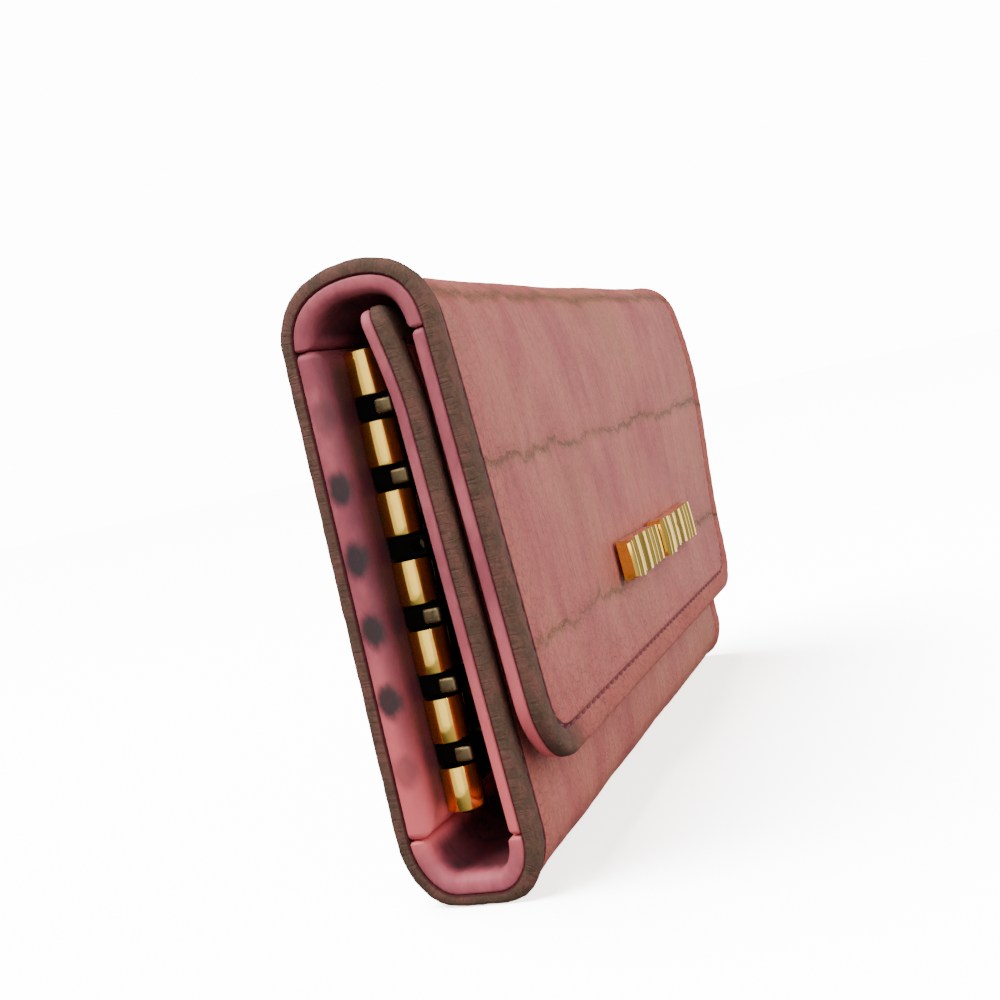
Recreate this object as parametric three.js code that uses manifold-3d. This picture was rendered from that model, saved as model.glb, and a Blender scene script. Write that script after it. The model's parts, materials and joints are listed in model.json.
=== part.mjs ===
// Six-hook key case: a leather case that wraps once round a rack of key hooks.
// The back panel, two rounded folds, a front panel and a snap-down flap are one strip of leather,
// lined and stiffened. A rolled-edge hook rack is riveted inside the back panel at the open end.
// Millimetres. X runs along the case (hook rack at the low end), the flap faces -Y, +Z is up.
// The case stands on its bottom fold; the origin is the bottom centre of the whole object's box.
import * as THREE from 'three';
import { mergeVertices } from 'three/addons/utils/BufferGeometryUtils.js';
import Module from 'manifold-3d';

const wasm = await Module();
wasm.setup();

// ---- driving dimensions -------------------------------------------------------------------
const LENGTH = 105; // along X
const GAP = 0.3; // clearance between touching pieces
const LEATHER = 1.1; // outer leather
const LINING_START = LEATHER + GAP; // depth of every lining's outer side
const RIM = 3; // turned edge of each panel lining, round its stiffener

const BACK = { y: 9.4, top: 60.3, bottom: 7.7, thick: 3.6, recess: 1.7, board: 1.1, radius: 0.6 };
const FLAP = { y: -8.1, top: 59.9, height: 47, tilt: 2.7, thick: 3.0, recess: 0.9, board: 0.5, radius: 8 };
const FRONT = { y: -3.9, top: 61.3, height: 54, tilt: 2.4, thick: 2.8, recess: 0.8, board: 0.4, radius: 2.2 };
const FOLD = { thick: 3.3, steps: 9, top: 68, flat: 4.6, flatCentre: 1.3 };

const ROD = { x: 6.3, y: 3.3, r: 0.7, overhang: 0.6 };
const KNUCKLE = { r: 2.2, bore: 1.0, length: 4.9, pitch: 7.64, count: 7, middle: 34.3 };
const PLATE = { thick: 0.6, start: 9.6, end: 22 };
const RIVET = { x: 17.5, r: 1.0, head: 1.9, headThick: 0.6, washer: 2.2, washerThick: 0.4 };

const LINK = { height: 2.1, back: 1.4, front: 2.9, near: 2.75, far: 1.5 };
const SHANK = { y: 1.45, r: 0.6, head: 1.0, headThick: 0.45, collar: 1.3, collarLength: 1.2 };
const HOOK = { start: 11.0, length: 15.5, half: 2.2, wire: 1.1 };
const GATE = { start: 14.2, length: 8.2, thick: 0.55, width: 1.0 };

const SNAP = { x: 57, drop: 33, cap: 3.8, capThick: 0.35, barrel: 1.2, ring: 4.0, ringHole: 2.2, ringThick: 0.5,
  knob: 1.7, knobLength: 0.7 };
const BOW = { x: 58.8, drop: 32, span: 39, end: 5.4, waist: 4.7, knot: 5.0, knotHeight: 5.3, thick: 2.0,
  knotThick: 2.4, prongOffset: 11, prong: 0.6, washer: 1.7, washerThick: 0.35 };

// ---- finishes -----------------------------------------------------------------------------
const finish = (color, roughness, metalness) =>
  new THREE.MeshStandardMaterial({ color, roughness, metalness });
const ROSE = finish(0xb4706a, 0.55, 0);
const PINK = finish(0xd9788c, 0.6, 0);
const BOARD = finish(0xb7a98c, 0.9, 0);
const GOLD = finish(0xd9a94a, 0.2, 1);
const STEEL = finish(0x2d2926, 0.45, 1);

// ---- helpers ------------------------------------------------------------------------------
const DEG = Math.PI / 180;
const caseGroup = new THREE.Group();

/** A named piece, added to a parent group. */
function piece(name, geometry, material, parent = caseGroup) {
  const mesh = new THREE.Mesh(geometry, material);
  mesh.name = name;
  parent.add(mesh);
  return mesh;
}

/** A closed BufferGeometry as a manifold solid. */
function toSolid(geometry) {
  const bare = geometry.clone();
  bare.deleteAttribute('normal');
  bare.deleteAttribute('uv');
  const merged = mergeVertices(bare, 1e-5);
  return new wasm.Manifold(new wasm.Mesh({
    numProp: 3,
    vertProperties: new Float32Array(merged.attributes.position.array),
    triVerts: new Uint32Array(merged.index.array),
  }));
}

/** A manifold solid back as a BufferGeometry. */
function toGeometry(solid) {
  const mesh = solid.getMesh();
  const geometry = new THREE.BufferGeometry();
  geometry.setAttribute('position', new THREE.BufferAttribute(new Float32Array(mesh.vertProperties), 3));
  geometry.setIndex(new THREE.BufferAttribute(new Uint32Array(mesh.triVerts), 1));
  return geometry;
}

/** One geometry joined with more of them. */
function join(first, ...others) {
  return toGeometry(others.reduce((solid, other) => solid.add(toSolid(other)), toSolid(first)));
}

/** A geometry with others cut out of it. */
function cut(first, ...tools) {
  return toGeometry(tools.reduce((solid, tool) => solid.subtract(toSolid(tool)), toSolid(first)));
}

/** A box given by its low and high corners. */
function box(low, high) {
  const size = high.map((value, axis) => value - low[axis]);
  const middle = high.map((value, axis) => (value + low[axis]) / 2);
  return new THREE.BoxGeometry(...size).translate(...middle);
}

/** A cylinder along X, Y or Z from one end to the other. */
function rod(axis, radius, start, end, centre, sides = 20) {
  const geometry = new THREE.CylinderGeometry(radius, radius, end - start, sides);
  const middle = (start + end) / 2;
  if (axis === 'x') {
    return geometry.rotateZ(-Math.PI / 2).translate(middle, centre[0], centre[1]);
  }
  if (axis === 'z') {
    return geometry.rotateX(Math.PI / 2).translate(centre[0], centre[1], middle);
  }
  return geometry.translate(centre[0], middle, centre[1]);
}

/** A plane outline extruded along its own Z from near to far. */
function slab(outline, near, far) {
  const options = { depth: far - near, bevelEnabled: false, curveSegments: 6 };
  return new THREE.ExtrudeGeometry(outline, options).translate(0, 0, near);
}

/** A rectangle whose corners at low y or high y are rounded. */
function rounded(x0, x1, y0, y1, lowRadius, highRadius) {
  const outline = new THREE.Shape();
  outline.moveTo(x0 + lowRadius, y0);
  outline.lineTo(x1 - lowRadius, y0);
  outline.quadraticCurveTo(x1, y0, x1, y0 + lowRadius);
  outline.lineTo(x1, y1 - highRadius);
  outline.quadraticCurveTo(x1, y1, x1 - highRadius, y1);
  outline.lineTo(x0 + highRadius, y1);
  outline.quadraticCurveTo(x0, y1, x0, y1 - highRadius);
  outline.lineTo(x0, y0 + lowRadius);
  outline.quadraticCurveTo(x0, y0, x0 + lowRadius, y0);
  return outline;
}

/** A group whose Y runs down a panel from its top outer edge and whose Z runs in from its outer face. */
function panelFrame(spec, facesBack) {
  const frame = new THREE.Group();
  frame.rotation.order = 'ZXY';
  frame.rotation.set(-Math.PI / 2 - (spec.tilt ?? 0) * DEG, 0, facesBack ? Math.PI : 0);
  frame.position.set(facesBack ? LENGTH : 0, spec.y, spec.top);
  caseGroup.add(frame);
  return frame;
}

/**
 * The three layers of a panel: outer leather, a board, and a lining whose turned edge surrounds the
 * board. holes.outer, holes.board and holes.lining are tools to cut, in the panel's own frame.
 */
function layeredPanel(name, spec, radii, facesBack, holes = {}) {
  const height = spec.height ?? spec.top - spec.bottom;
  const [topRadius, bottomRadius] = radii;
  const frame = panelFrame(spec, facesBack);
  const layer = (inset, near, far) => slab(
    rounded(inset, LENGTH - inset, inset, height - inset,
      Math.max(topRadius - inset, 0.3), Math.max(bottomRadius - inset, 0.3)),
    near, far);
  const outer = layer(0, 0, LEATHER);
  const recessFloor = LINING_START + spec.recess;
  const pocket = layer(RIM, LINING_START - 1, recessFloor);
  const boardStart = LINING_START + (spec.recess - spec.board) / 2;
  const board = layer(RIM + GAP, boardStart, boardStart + spec.board);
  const lining = layer(0, LINING_START, spec.thick);
  piece(`${name}_outer_leather`, cut(outer, ...(holes.outer ?? [])), ROSE, frame);
  piece(`${name}_board`, cut(board, ...(holes.board ?? [])), BOARD, frame);
  piece(`${name}_lining`, cut(lining, pocket, ...(holes.lining ?? [])), PINK, frame);
  return { frame, boardStart, recessFloor };
}

/** The band between two depths under a profile curve, extruded along the whole case. */
function foldBand(profile, near, far) {
  const points = [];
  for (const depth of [near, far]) {
    const side = profile.flatMap((curve, part) => curve.getPoints(curve.isLineCurve ? 1 : FOLD.steps)
      .map((point, index, all) => {
        const t = index / (all.length - 1);
        const along = curve.getTangent(t);
        return new THREE.Vector2(point.x - along.y * depth, point.y + along.x * depth);
      })
      .slice(part === 0 ? 0 : 1));
    points.push(depth === near ? side : side.reverse());
  }
  const outline = new THREE.Shape(points.flat());
  const geometry = new THREE.ExtrudeGeometry(outline, { depth: LENGTH, bevelEnabled: false });
  const turn = new THREE.Matrix4().makeBasis(
    new THREE.Vector3(0, 1, 0), new THREE.Vector3(0, 0, 1), new THREE.Vector3(1, 0, 0));
  return geometry.applyMatrix4(turn);
}

const V = (y, z) => new THREE.Vector2(y, z);

// ---- folds --------------------------------------------------------------------------------
// Both profiles run with the inside of the case on their left.
const topProfile = [
  new THREE.CubicBezierCurve(V(BACK.y, BACK.top + GAP), V(BACK.y, 65.3), V(5.8, FOLD.top), V(0.3, FOLD.top)),
  new THREE.CubicBezierCurve(V(0.3, FOLD.top), V(-4.7, FOLD.top), V(-7.9, 65.6), V(FLAP.y, FLAP.top + GAP)),
];
const frontFoot = V(
  FRONT.y - (FRONT.height + GAP) * Math.sin(FRONT.tilt * DEG),
  FRONT.top - (FRONT.height + GAP) * Math.cos(FRONT.tilt * DEG));
const flatBack = FOLD.flatCentre + FOLD.flat / 2;
const flatFront = FOLD.flatCentre - FOLD.flat / 2;
const bottomProfile = [
  new THREE.CubicBezierCurve(frontFoot, V(-6.5, 2.8), V(-4.0, 0), V(flatFront, 0)),
  new THREE.LineCurve(V(flatFront, 0), V(flatBack, 0)),
  new THREE.CubicBezierCurve(V(flatBack, 0), V(6.8, 0), V(BACK.y, 3.6), V(BACK.y, BACK.bottom - GAP)),
];
for (const [name, profile] of [['top_fold', topProfile], ['bottom_fold', bottomProfile]]) {
  piece(`${name}_outer_leather`, foldBand(profile, 0, LEATHER), ROSE);
  piece(`${name}_lining`, foldBand(profile, LINING_START, FOLD.thick), PINK);
}

// ---- back panel ---------------------------------------------------------------------------
// In a back-facing panel frame, x is measured from the far end and y from the panel's top.
// The rack's rivets sit level with the second knuckle from each end, so they miss the turning hooks.
const knuckleCentres = Array.from({ length: KNUCKLE.count },
  (_, index) => KNUCKLE.middle + (index - (KNUCKLE.count - 1) / 2) * KNUCKLE.pitch);
const rivetHeights = [knuckleCentres[1], knuckleCentres.at(-2)];
const rivetCentres = rivetHeights.map((z) => [LENGTH - RIVET.x, BACK.top - z]);
const alongDepth = (radius, near, far, [x, y]) => rod('z', radius, near, far, [x, y]);
layeredPanel('back', BACK, [BACK.radius, BACK.radius], true, {
  board: rivetCentres.map((centre) => alongDepth(RIVET.washer + GAP, 0, BACK.thick, centre)),
  lining: rivetCentres.map((centre) => alongDepth(RIVET.r + GAP, 0, BACK.thick + 1, centre)),
});

// ---- hook rack ----------------------------------------------------------------------------
const plateBack = ROD.y + KNUCKLE.r;
const plateFront = plateBack - PLATE.thick;
const rackBottom = knuckleCentres[0] - KNUCKLE.length / 2;
const rackTop = knuckleCentres.at(-1) + KNUCKLE.length / 2;

function rackPlate() {
  const plate = box([PLATE.start, plateFront, rackBottom], [PLATE.end, plateBack, rackTop]);
  const rolls = knuckleCentres.flatMap((z) => {
    const low = z - KNUCKLE.length / 2;
    const high = z + KNUCKLE.length / 2;
    return [
      rod('z', KNUCKLE.r, low, high, [ROD.x, ROD.y], 28),
      box([ROD.x, plateFront, low], [PLATE.start + 1, plateBack, high]),
    ];
  });
  const bore = rod('z', KNUCKLE.bore, rackBottom - 1, rackTop + 1, [ROD.x, ROD.y]);
  const holes = rivetHeights.map((z) => rod('y', RIVET.r + GAP, plateFront - 1, plateBack + 1, [RIVET.x, z]));
  return cut(join(plate, ...rolls), bore, ...holes);
}
piece('rack_plate', rackPlate(), GOLD);
piece('rack_rod', rod('z', ROD.r, rackBottom - ROD.overhang, rackTop + ROD.overhang, [ROD.x, ROD.y], 16), STEEL);

const washerFar = BACK.y - LINING_START - GAP;
['lower', 'upper'].forEach((place, index) => {
  const z = rivetHeights[index];
  const headBack = plateFront - GAP;
  const head = rod('y', RIVET.head, headBack - RIVET.headThick, headBack, [RIVET.x, z]);
  const shank = rod('y', RIVET.r, headBack - 0.1, washerFar, [RIVET.x, z]);
  piece(`rack_rivet_${place}`, join(head, shank), GOLD);
  const disc = rod('y', RIVET.washer, washerFar - RIVET.washerThick, washerFar, [RIVET.x, z]);
  const hole = rod('y', RIVET.r + GAP, washerFar - 2, washerFar + 1, [RIVET.x, z]);
  piece(`rack_washer_${place}`, cut(disc, hole), STEEL);
});

// ---- hooks --------------------------------------------------------------------------------
/** The strap round the rod that carries one hook: it swings on the rod and holds the hook's shank. */
function linkSolid(z) {
  const low = z - LINK.height / 2;
  const high = z + LINK.height / 2;
  const block = box(
    [ROD.x - LINK.back, ROD.y - LINK.near, low], [ROD.x + LINK.front, ROD.y + LINK.far, high]);
  const bore = rod('z', KNUCKLE.bore, low - 1, high + 1, [ROD.x, ROD.y]);
  const shankHole = rod('x', SHANK.r + 0.15, ROD.x - LINK.back - 1, ROD.x + LINK.front + 1, [SHANK.y, z]);
  return cut(block, bore, shankHole);
}

/** One swivel hook: peened head, shank, collar and an oval loop left open on the gate's side. */
function hookSolid(z) {
  const headFront = ROD.x - LINK.back - GAP;
  const head = rod('x', SHANK.head, headFront - SHANK.headThick, headFront, [SHANK.y, z]);
  const shank = rod('x', SHANK.r, headFront - 0.1, HOOK.start + 0.2, [SHANK.y, z], 14);
  const collarStart = ROD.x + LINK.front + GAP;
  const collar = rod('x', SHANK.collar, collarStart, collarStart + SHANK.collarLength, [SHANK.y, z]);
  const outer = rounded(HOOK.start, HOOK.start + HOOK.length, -HOOK.half, HOOK.half, HOOK.half, HOOK.half);
  const inner = rounded(HOOK.start + HOOK.wire, HOOK.start + HOOK.length - HOOK.wire,
    HOOK.wire - HOOK.half, HOOK.half - HOOK.wire, HOOK.half - HOOK.wire, HOOK.half - HOOK.wire);
  outer.holes.push(inner);
  const loop = slab(outer, -HOOK.wire / 2, HOOK.wire / 2).rotateX(Math.PI / 2).translate(0, SHANK.y, z);
  const mouth = box(
    [GATE.start - GAP, SHANK.y - HOOK.wire, z + GAP],
    [GATE.start + GATE.length + GAP, SHANK.y + HOOK.wire, z + HOOK.half + 1]);
  return join(cut(loop, mouth), head, shank, collar);
}

/** The flat spring bar that closes a hook's mouth. */
function gateSolid(z) {
  const top = z + HOOK.half - GAP / 2;
  return box(
    [GATE.start, SHANK.y - GATE.width / 2, top - GATE.thick],
    [GATE.start + GATE.length, SHANK.y + GATE.width / 2, top]);
}

for (let index = 0; index < KNUCKLE.count - 1; index += 1) {
  const z = (knuckleCentres[index] + knuckleCentres[index + 1]) / 2;
  piece(`hook_link_${index + 1}`, linkSolid(z), STEEL);
  piece(`hook_${index + 1}`, hookSolid(z), GOLD);
  piece(`hook_gate_${index + 1}`, gateSolid(z), GOLD);
}

// ---- flap, bow and snap -------------------------------------------------------------------
// Positions on a panel are [x, distance down from the panel's top].
const snapOnFlap = [SNAP.x, SNAP.drop];
const snapZ = FLAP.top - SNAP.drop * Math.cos(FLAP.tilt * DEG);
const snapOnFront = [SNAP.x, (FRONT.top - snapZ) / Math.cos(FRONT.tilt * DEG)];
const prongCentres = [-1, 1].map((side) => [BOW.x + side * BOW.prongOffset, BOW.drop]);

const flap = layeredPanel('flap', FLAP, [0.3, FLAP.radius], false, {
  outer: prongCentres.map((centre) => alongDepth(BOW.prong + GAP, -1, LEATHER + 1, centre)),
  board: [
    alongDepth(SNAP.cap + GAP, 0, FLAP.thick, snapOnFlap),
    ...prongCentres.map((centre) => alongDepth(BOW.washer + GAP, 0, FLAP.thick, centre)),
  ],
  lining: [alongDepth(SNAP.barrel + GAP, 0, FLAP.thick + 1, snapOnFlap)],
});
const front = layeredPanel('front', FRONT, [FRONT.radius, 0.3], false, {
  outer: [alongDepth(SNAP.barrel + GAP, -1, LEATHER + 1, snapOnFront)],
  board: [alongDepth(SNAP.cap + GAP, 0, FRONT.thick, snapOnFront)],
});

/** The female half: a hidden cap whose barrel comes through the lining to a spring ring. */
const ringNear = FLAP.thick + GAP / 2;
const ringFar = ringNear + SNAP.ringThick;
piece('snap_cap', join(
  alongDepth(SNAP.cap, flap.boardStart, flap.boardStart + SNAP.capThick, snapOnFlap),
  alongDepth(SNAP.barrel, flap.boardStart + 0.1, FLAP.thick, snapOnFlap)), STEEL, flap.frame);
piece('snap_socket', cut(
  alongDepth(SNAP.ring, ringNear, ringFar, snapOnFlap),
  alongDepth(SNAP.ringHole, ringNear - 1, ringFar + 1, snapOnFlap)), GOLD, flap.frame);

/** The male half: a flanged knob on the front panel, held by a post from inside it. */
const studBase = -GAP / 2;
piece('snap_stud', cut(
  join(
    alongDepth(SNAP.ring - 0.8, studBase - 0.3, studBase, snapOnFront),
    alongDepth(SNAP.knob, studBase - SNAP.knobLength, studBase - 0.1, snapOnFront)),
  alongDepth(SNAP.barrel + GAP / 2, studBase - 0.4, studBase + 1, snapOnFront)), GOLD, front.frame);
piece('snap_post', join(
  alongDepth(SNAP.cap, front.boardStart, front.boardStart + SNAP.capThick, snapOnFront),
  alongDepth(SNAP.barrel, studBase - 0.2, front.boardStart + 0.1, snapOnFront)), STEEL, front.frame);

/** One wing of the bow: narrow at the knot and wide at its end. */
function bowWing(side) {
  const inner = side * (BOW.knot / 2 + GAP);
  const outer = side * (BOW.span / 2);
  const outline = new THREE.Shape([
    V(BOW.x + inner, BOW.drop - BOW.waist / 2), V(BOW.x + outer, BOW.drop - BOW.end / 2),
    V(BOW.x + outer, BOW.drop + BOW.end / 2), V(BOW.x + inner, BOW.drop + BOW.waist / 2)]);
  return slab(outline, -GAP - BOW.thick, -GAP);
}
piece('bow_wing_near', bowWing(-1), GOLD, flap.frame);
piece('bow_wing_far', bowWing(1), GOLD, flap.frame);
piece('bow_knot', slab(
  rounded(BOW.x - BOW.knot / 2, BOW.x + BOW.knot / 2, BOW.drop - BOW.knotHeight / 2,
    BOW.drop + BOW.knotHeight / 2, 0.8, 0.8),
  -GAP - BOW.knotThick, -GAP), GOLD, flap.frame);
['near', 'far'].forEach((place, index) => {
  const centre = prongCentres[index];
  const washerNear = flap.boardStart - 0.05;
  const washerEnd = washerNear + BOW.washerThick;
  piece(`bow_prong_${place}`, alongDepth(BOW.prong, 0, washerEnd + 0.1, centre), GOLD, flap.frame);
  piece(`bow_washer_${place}`, cut(
    alongDepth(BOW.washer, washerNear, washerEnd, centre),
    alongDepth(BOW.prong + GAP, washerNear - 1, washerEnd + 1, centre)), STEEL, flap.frame);
});

// ---- whole object, centred over the origin --------------------------------------------------
const keyCase = new THREE.Group();
keyCase.add(caseGroup);
caseGroup.updateMatrixWorld(true);
const extent = new THREE.Box3().setFromObject(caseGroup, true);
caseGroup.position.set(-LENGTH / 2, -(extent.min.y + extent.max.y) / 2, 0);

export default keyCase;
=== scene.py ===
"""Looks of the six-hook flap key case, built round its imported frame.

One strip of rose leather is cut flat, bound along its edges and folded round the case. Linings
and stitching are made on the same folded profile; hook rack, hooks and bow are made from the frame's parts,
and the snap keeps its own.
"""
import json
import logging
import math
from dataclasses import dataclass, field
from enum import Enum
from typing import Callable, Iterable, Sequence

import bmesh
import bpy
from mathutils import Matrix, Vector, noise


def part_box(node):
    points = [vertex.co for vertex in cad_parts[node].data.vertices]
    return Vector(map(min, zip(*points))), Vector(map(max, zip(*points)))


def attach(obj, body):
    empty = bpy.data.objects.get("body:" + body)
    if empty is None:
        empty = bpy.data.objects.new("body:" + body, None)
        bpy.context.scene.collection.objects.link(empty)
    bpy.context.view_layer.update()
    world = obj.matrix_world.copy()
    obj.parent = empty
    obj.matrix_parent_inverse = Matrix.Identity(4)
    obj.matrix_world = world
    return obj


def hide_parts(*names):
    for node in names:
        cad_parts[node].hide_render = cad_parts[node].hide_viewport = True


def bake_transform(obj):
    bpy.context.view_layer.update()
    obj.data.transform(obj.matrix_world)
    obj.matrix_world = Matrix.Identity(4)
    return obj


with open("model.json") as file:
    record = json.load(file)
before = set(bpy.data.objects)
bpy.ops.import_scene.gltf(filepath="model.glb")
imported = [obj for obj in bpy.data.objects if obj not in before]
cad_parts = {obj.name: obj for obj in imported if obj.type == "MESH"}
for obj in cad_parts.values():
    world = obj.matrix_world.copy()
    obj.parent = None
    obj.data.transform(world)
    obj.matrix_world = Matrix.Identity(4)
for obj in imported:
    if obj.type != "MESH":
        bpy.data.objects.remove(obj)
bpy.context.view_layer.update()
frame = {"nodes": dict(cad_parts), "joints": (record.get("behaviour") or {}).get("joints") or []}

MM = 0.001
LOG = logging.getLogger("key_case")
Node = bpy.types.ShaderNode
Socket = bpy.types.NodeSocket
Colour = tuple[float, float, float]
Span = tuple[float, float]


class Body(Enum):
    """The moving bodies of the case."""

    BACK = "case_back"
    TOP = "top_fold"
    FLAP = "flap"
    FRONT = "front_panel"


class Slot(Enum):
    """The record's finishes."""

    LEATHER = "rose_leather"
    LINING = "pink_lining"
    BOARD = "stiffener_board"
    GOLD = "polished_gold"
    STEEL = "dark_steel"


class Space(Enum):
    """What a pattern is read from."""

    CUT = "the flat-cut piece"
    OBJECT = "the object"


# ---- small numeric helpers ------------------------------------------------------------------

def smooth(low: float, high: float, value: float) -> float:
    """Eases from 0 at low to 1 at high."""
    t = min(max((value - low) / (high - low), 0.0), 1.0)
    return t * t * (3 - 2 * t)


def bump(centre: float, width: float, value: float) -> float:
    """A bell of height 1 at centre that fades within about width."""
    return math.exp(-(((value - centre) / width) ** 2))


# ---- materials --------------------------------------------------------------------------------

@dataclass(frozen=True)
class Grain:
    """A cloudy pattern.

    Args:
        scale: marks per millimetre in three directions.
        octaves: how many sizes of mark are laid over each other.
        rough: how strong the small ones are.
        warp: how far the pattern is stirred.
        span: the values between which it eases from none to full, if it does.
        share: how much of it shows where it is full.
        relief: its height in millimetres and how much of that shows.
        space: what it is read from.
    """

    scale: Colour
    octaves: float = 4.0
    rough: float = 0.55
    warp: float = 0.0
    span: Span | None = None
    share: float = 1.0
    relief: Span = (0.0, 1.0)
    space: Space = Space.CUT


@dataclass
class Shader:
    """A material's node tree with short ways to add nodes.

    Args:
        name: the material's name.
    """

    name: str
    material: bpy.types.Material = field(init=False)

    def __post_init__(self) -> None:
        """Makes the material with its surface shader."""
        self.material = bpy.data.materials.new(self.name)
        self.material.use_nodes = True
        self.surface = self.material.node_tree.nodes["Principled BSDF"]

    def add(self, kind: str, inputs: dict[str | int, object] | None = None, **settings: object) -> Node:
        """Adds a node.

        Args:
            kind: the node's type name after ShaderNode.
            inputs: values or sockets for its inputs.
            settings: the node's own properties.

        Returns:
            The node.
        """
        node = self.material.node_tree.nodes.new("ShaderNode" + kind)
        for key, value in settings.items():
            setattr(node, key, value)
        for key, value in (inputs or {}).items():
            self.put(node.inputs[key], value)
        return node

    def put(self, socket: Socket, value: object) -> None:
        """Links a socket to an input, or sets the input's value.

        Args:
            socket: the input.
            value: a socket, number or colour.
        """
        if isinstance(value, bpy.types.NodeSocket):
            self.material.node_tree.links.new(value, socket)
        elif isinstance(value, tuple) and len(value) == 3 and socket.type == "RGBA":
            socket.default_value = (*value, 1.0)
        else:
            socket.default_value = value

    def dress(self, **values: object) -> None:
        """Sets the surface's inputs, named with underscores for spaces.

        Args:
            values: a socket, number or colour for each.
        """
        for name, value in values.items():
            self.put(self.surface.inputs[name.replace("_", " ")], value)

    def math(self, operation: str, *values: object, clamp: bool = False) -> Socket:
        """Adds a Math node.

        Args:
            operation: its operation.
            values: its inputs in order.
            clamp: whether its result is kept between 0 and 1.

        Returns:
            Its output.
        """
        inputs = dict(enumerate(values))
        return self.add("Math", inputs, operation=operation, use_clamp=clamp).outputs[0]

    def vector_math(self, operation: str, *values: object) -> Socket:
        """Adds a Vector Math node.

        Args:
            operation: its operation.
            values: its inputs in order.

        Returns:
            Its output: a number for a length, or else a vector.
        """
        node = self.add("VectorMath", dict(enumerate(values)), operation=operation)
        return node.outputs["Value" if operation == "LENGTH" else "Vector"]

    def times(self, first: object, *others: object) -> Socket:
        """Multiplies values together.

        Args:
            first: a number or socket.
            others: more of them.

        Returns:
            Their product.
        """
        for other in others:
            first = self.math("MULTIPLY", first, other)
        return first

    def sway(self, value: Socket, reach: float) -> Socket:
        """A pattern centred on zero and stretched."""
        return self.times(self.math("SUBTRACT", value, 0.5), reach)

    def flipped(self, value: Socket) -> Socket:
        """One minus a value."""
        return self.math("SUBTRACT", 1.0, value)

    def axis(self, vector: Socket, index: int) -> Socket:
        """One coordinate of a vector."""
        return self.add("SeparateXYZ", {0: vector}).outputs[index]

    def step(self, value: object, low: float, high: float) -> Socket:
        """Eases from 0 to 1 as value goes from low to high.

        Args:
            value: the socket to read.
            low: where it is 0.
            high: where it is 1.

        Returns:
            The eased value.
        """
        first, last = sorted((low, high))
        ends = (1.0, 0.0) if low > high else (0.0, 1.0)
        inputs = {0: value, 1: first, 2: last, 3: ends[0], 4: ends[1]}
        return self.add("MapRange", inputs, interpolation_type="SMOOTHSTEP").outputs[0]

    def mix(self, factor: object, first: object, second: object) -> Socket:
        """Mixes two colours.

        Args:
            factor: how much of the second.
            first: a colour or socket.
            second: a colour or socket.

        Returns:
            The mixed colour.
        """
        return self.add("Mix", {0: factor, 6: first, 7: second}, data_type="RGBA").outputs[2]

    def place(self, space: Space, stretch: Colour = (1.0, 1.0, 1.0)) -> Socket:
        """Where a pattern is read, in millimetres.

        Args:
            space: the flat-cut piece or the object.
            stretch: a factor for each direction.

        Returns:
            The stretched place.
        """
        if space is Space.CUT:
            source, unit = self.add("UVMap", uv_map="cut").outputs["UV"], 1.0
        else:
            source, unit = self.add("TexCoord").outputs["Object"], MM
        scale = tuple(value / unit for value in stretch)
        return self.add("Mapping", {"Vector": source, "Scale": scale}).outputs["Vector"]

    def noise(self, grain: Grain) -> Socket:
        """Adds a pattern.

        Args:
            grain: the pattern.

        Returns:
            Its grey value.
        """
        inputs = {"Vector": self.place(grain.space, grain.scale), "Scale": 1.0, "Detail": grain.octaves,
                  "Roughness": grain.rough, "Distortion": grain.warp}
        return self.add("TexNoise", inputs).outputs["Fac"]

    def shown(self, grain: Grain, value: Socket | None = None) -> Socket:
        """How much of a pattern shows.

        Args:
            grain: the pattern.
            value: its grey value, if it has been read already.

        Returns:
            Its value, eased if the pattern says so, times its share.
        """
        value = self.noise(grain) if value is None else value
        return self.times(self.step(value, *grain.span) if grain.span else value, grain.share)

    def attribute(self, name: str) -> Socket:
        """Reads one of the piece's own values."""
        return self.add("Attribute", attribute_name=name).outputs["Fac"]

    def reliefs(self, layers: Iterable[tuple[Socket, Span]]) -> Socket:
        """Bumps the surface by layers, one on the other.

        Args:
            layers: heights from 0 to 1, each with what 1 stands for in millimetres and how much shows.

        Returns:
            The bumped normal.
        """
        normal: Socket | None = None
        for height, (reach, strength) in layers:
            inputs: dict[str | int, object] = {
                "Height": height, "Distance": reach * MM, "Strength": strength}
            if normal is not None:
                inputs["Normal"] = normal
            normal = self.add("Bump", inputs).outputs["Normal"]
        return normal


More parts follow.
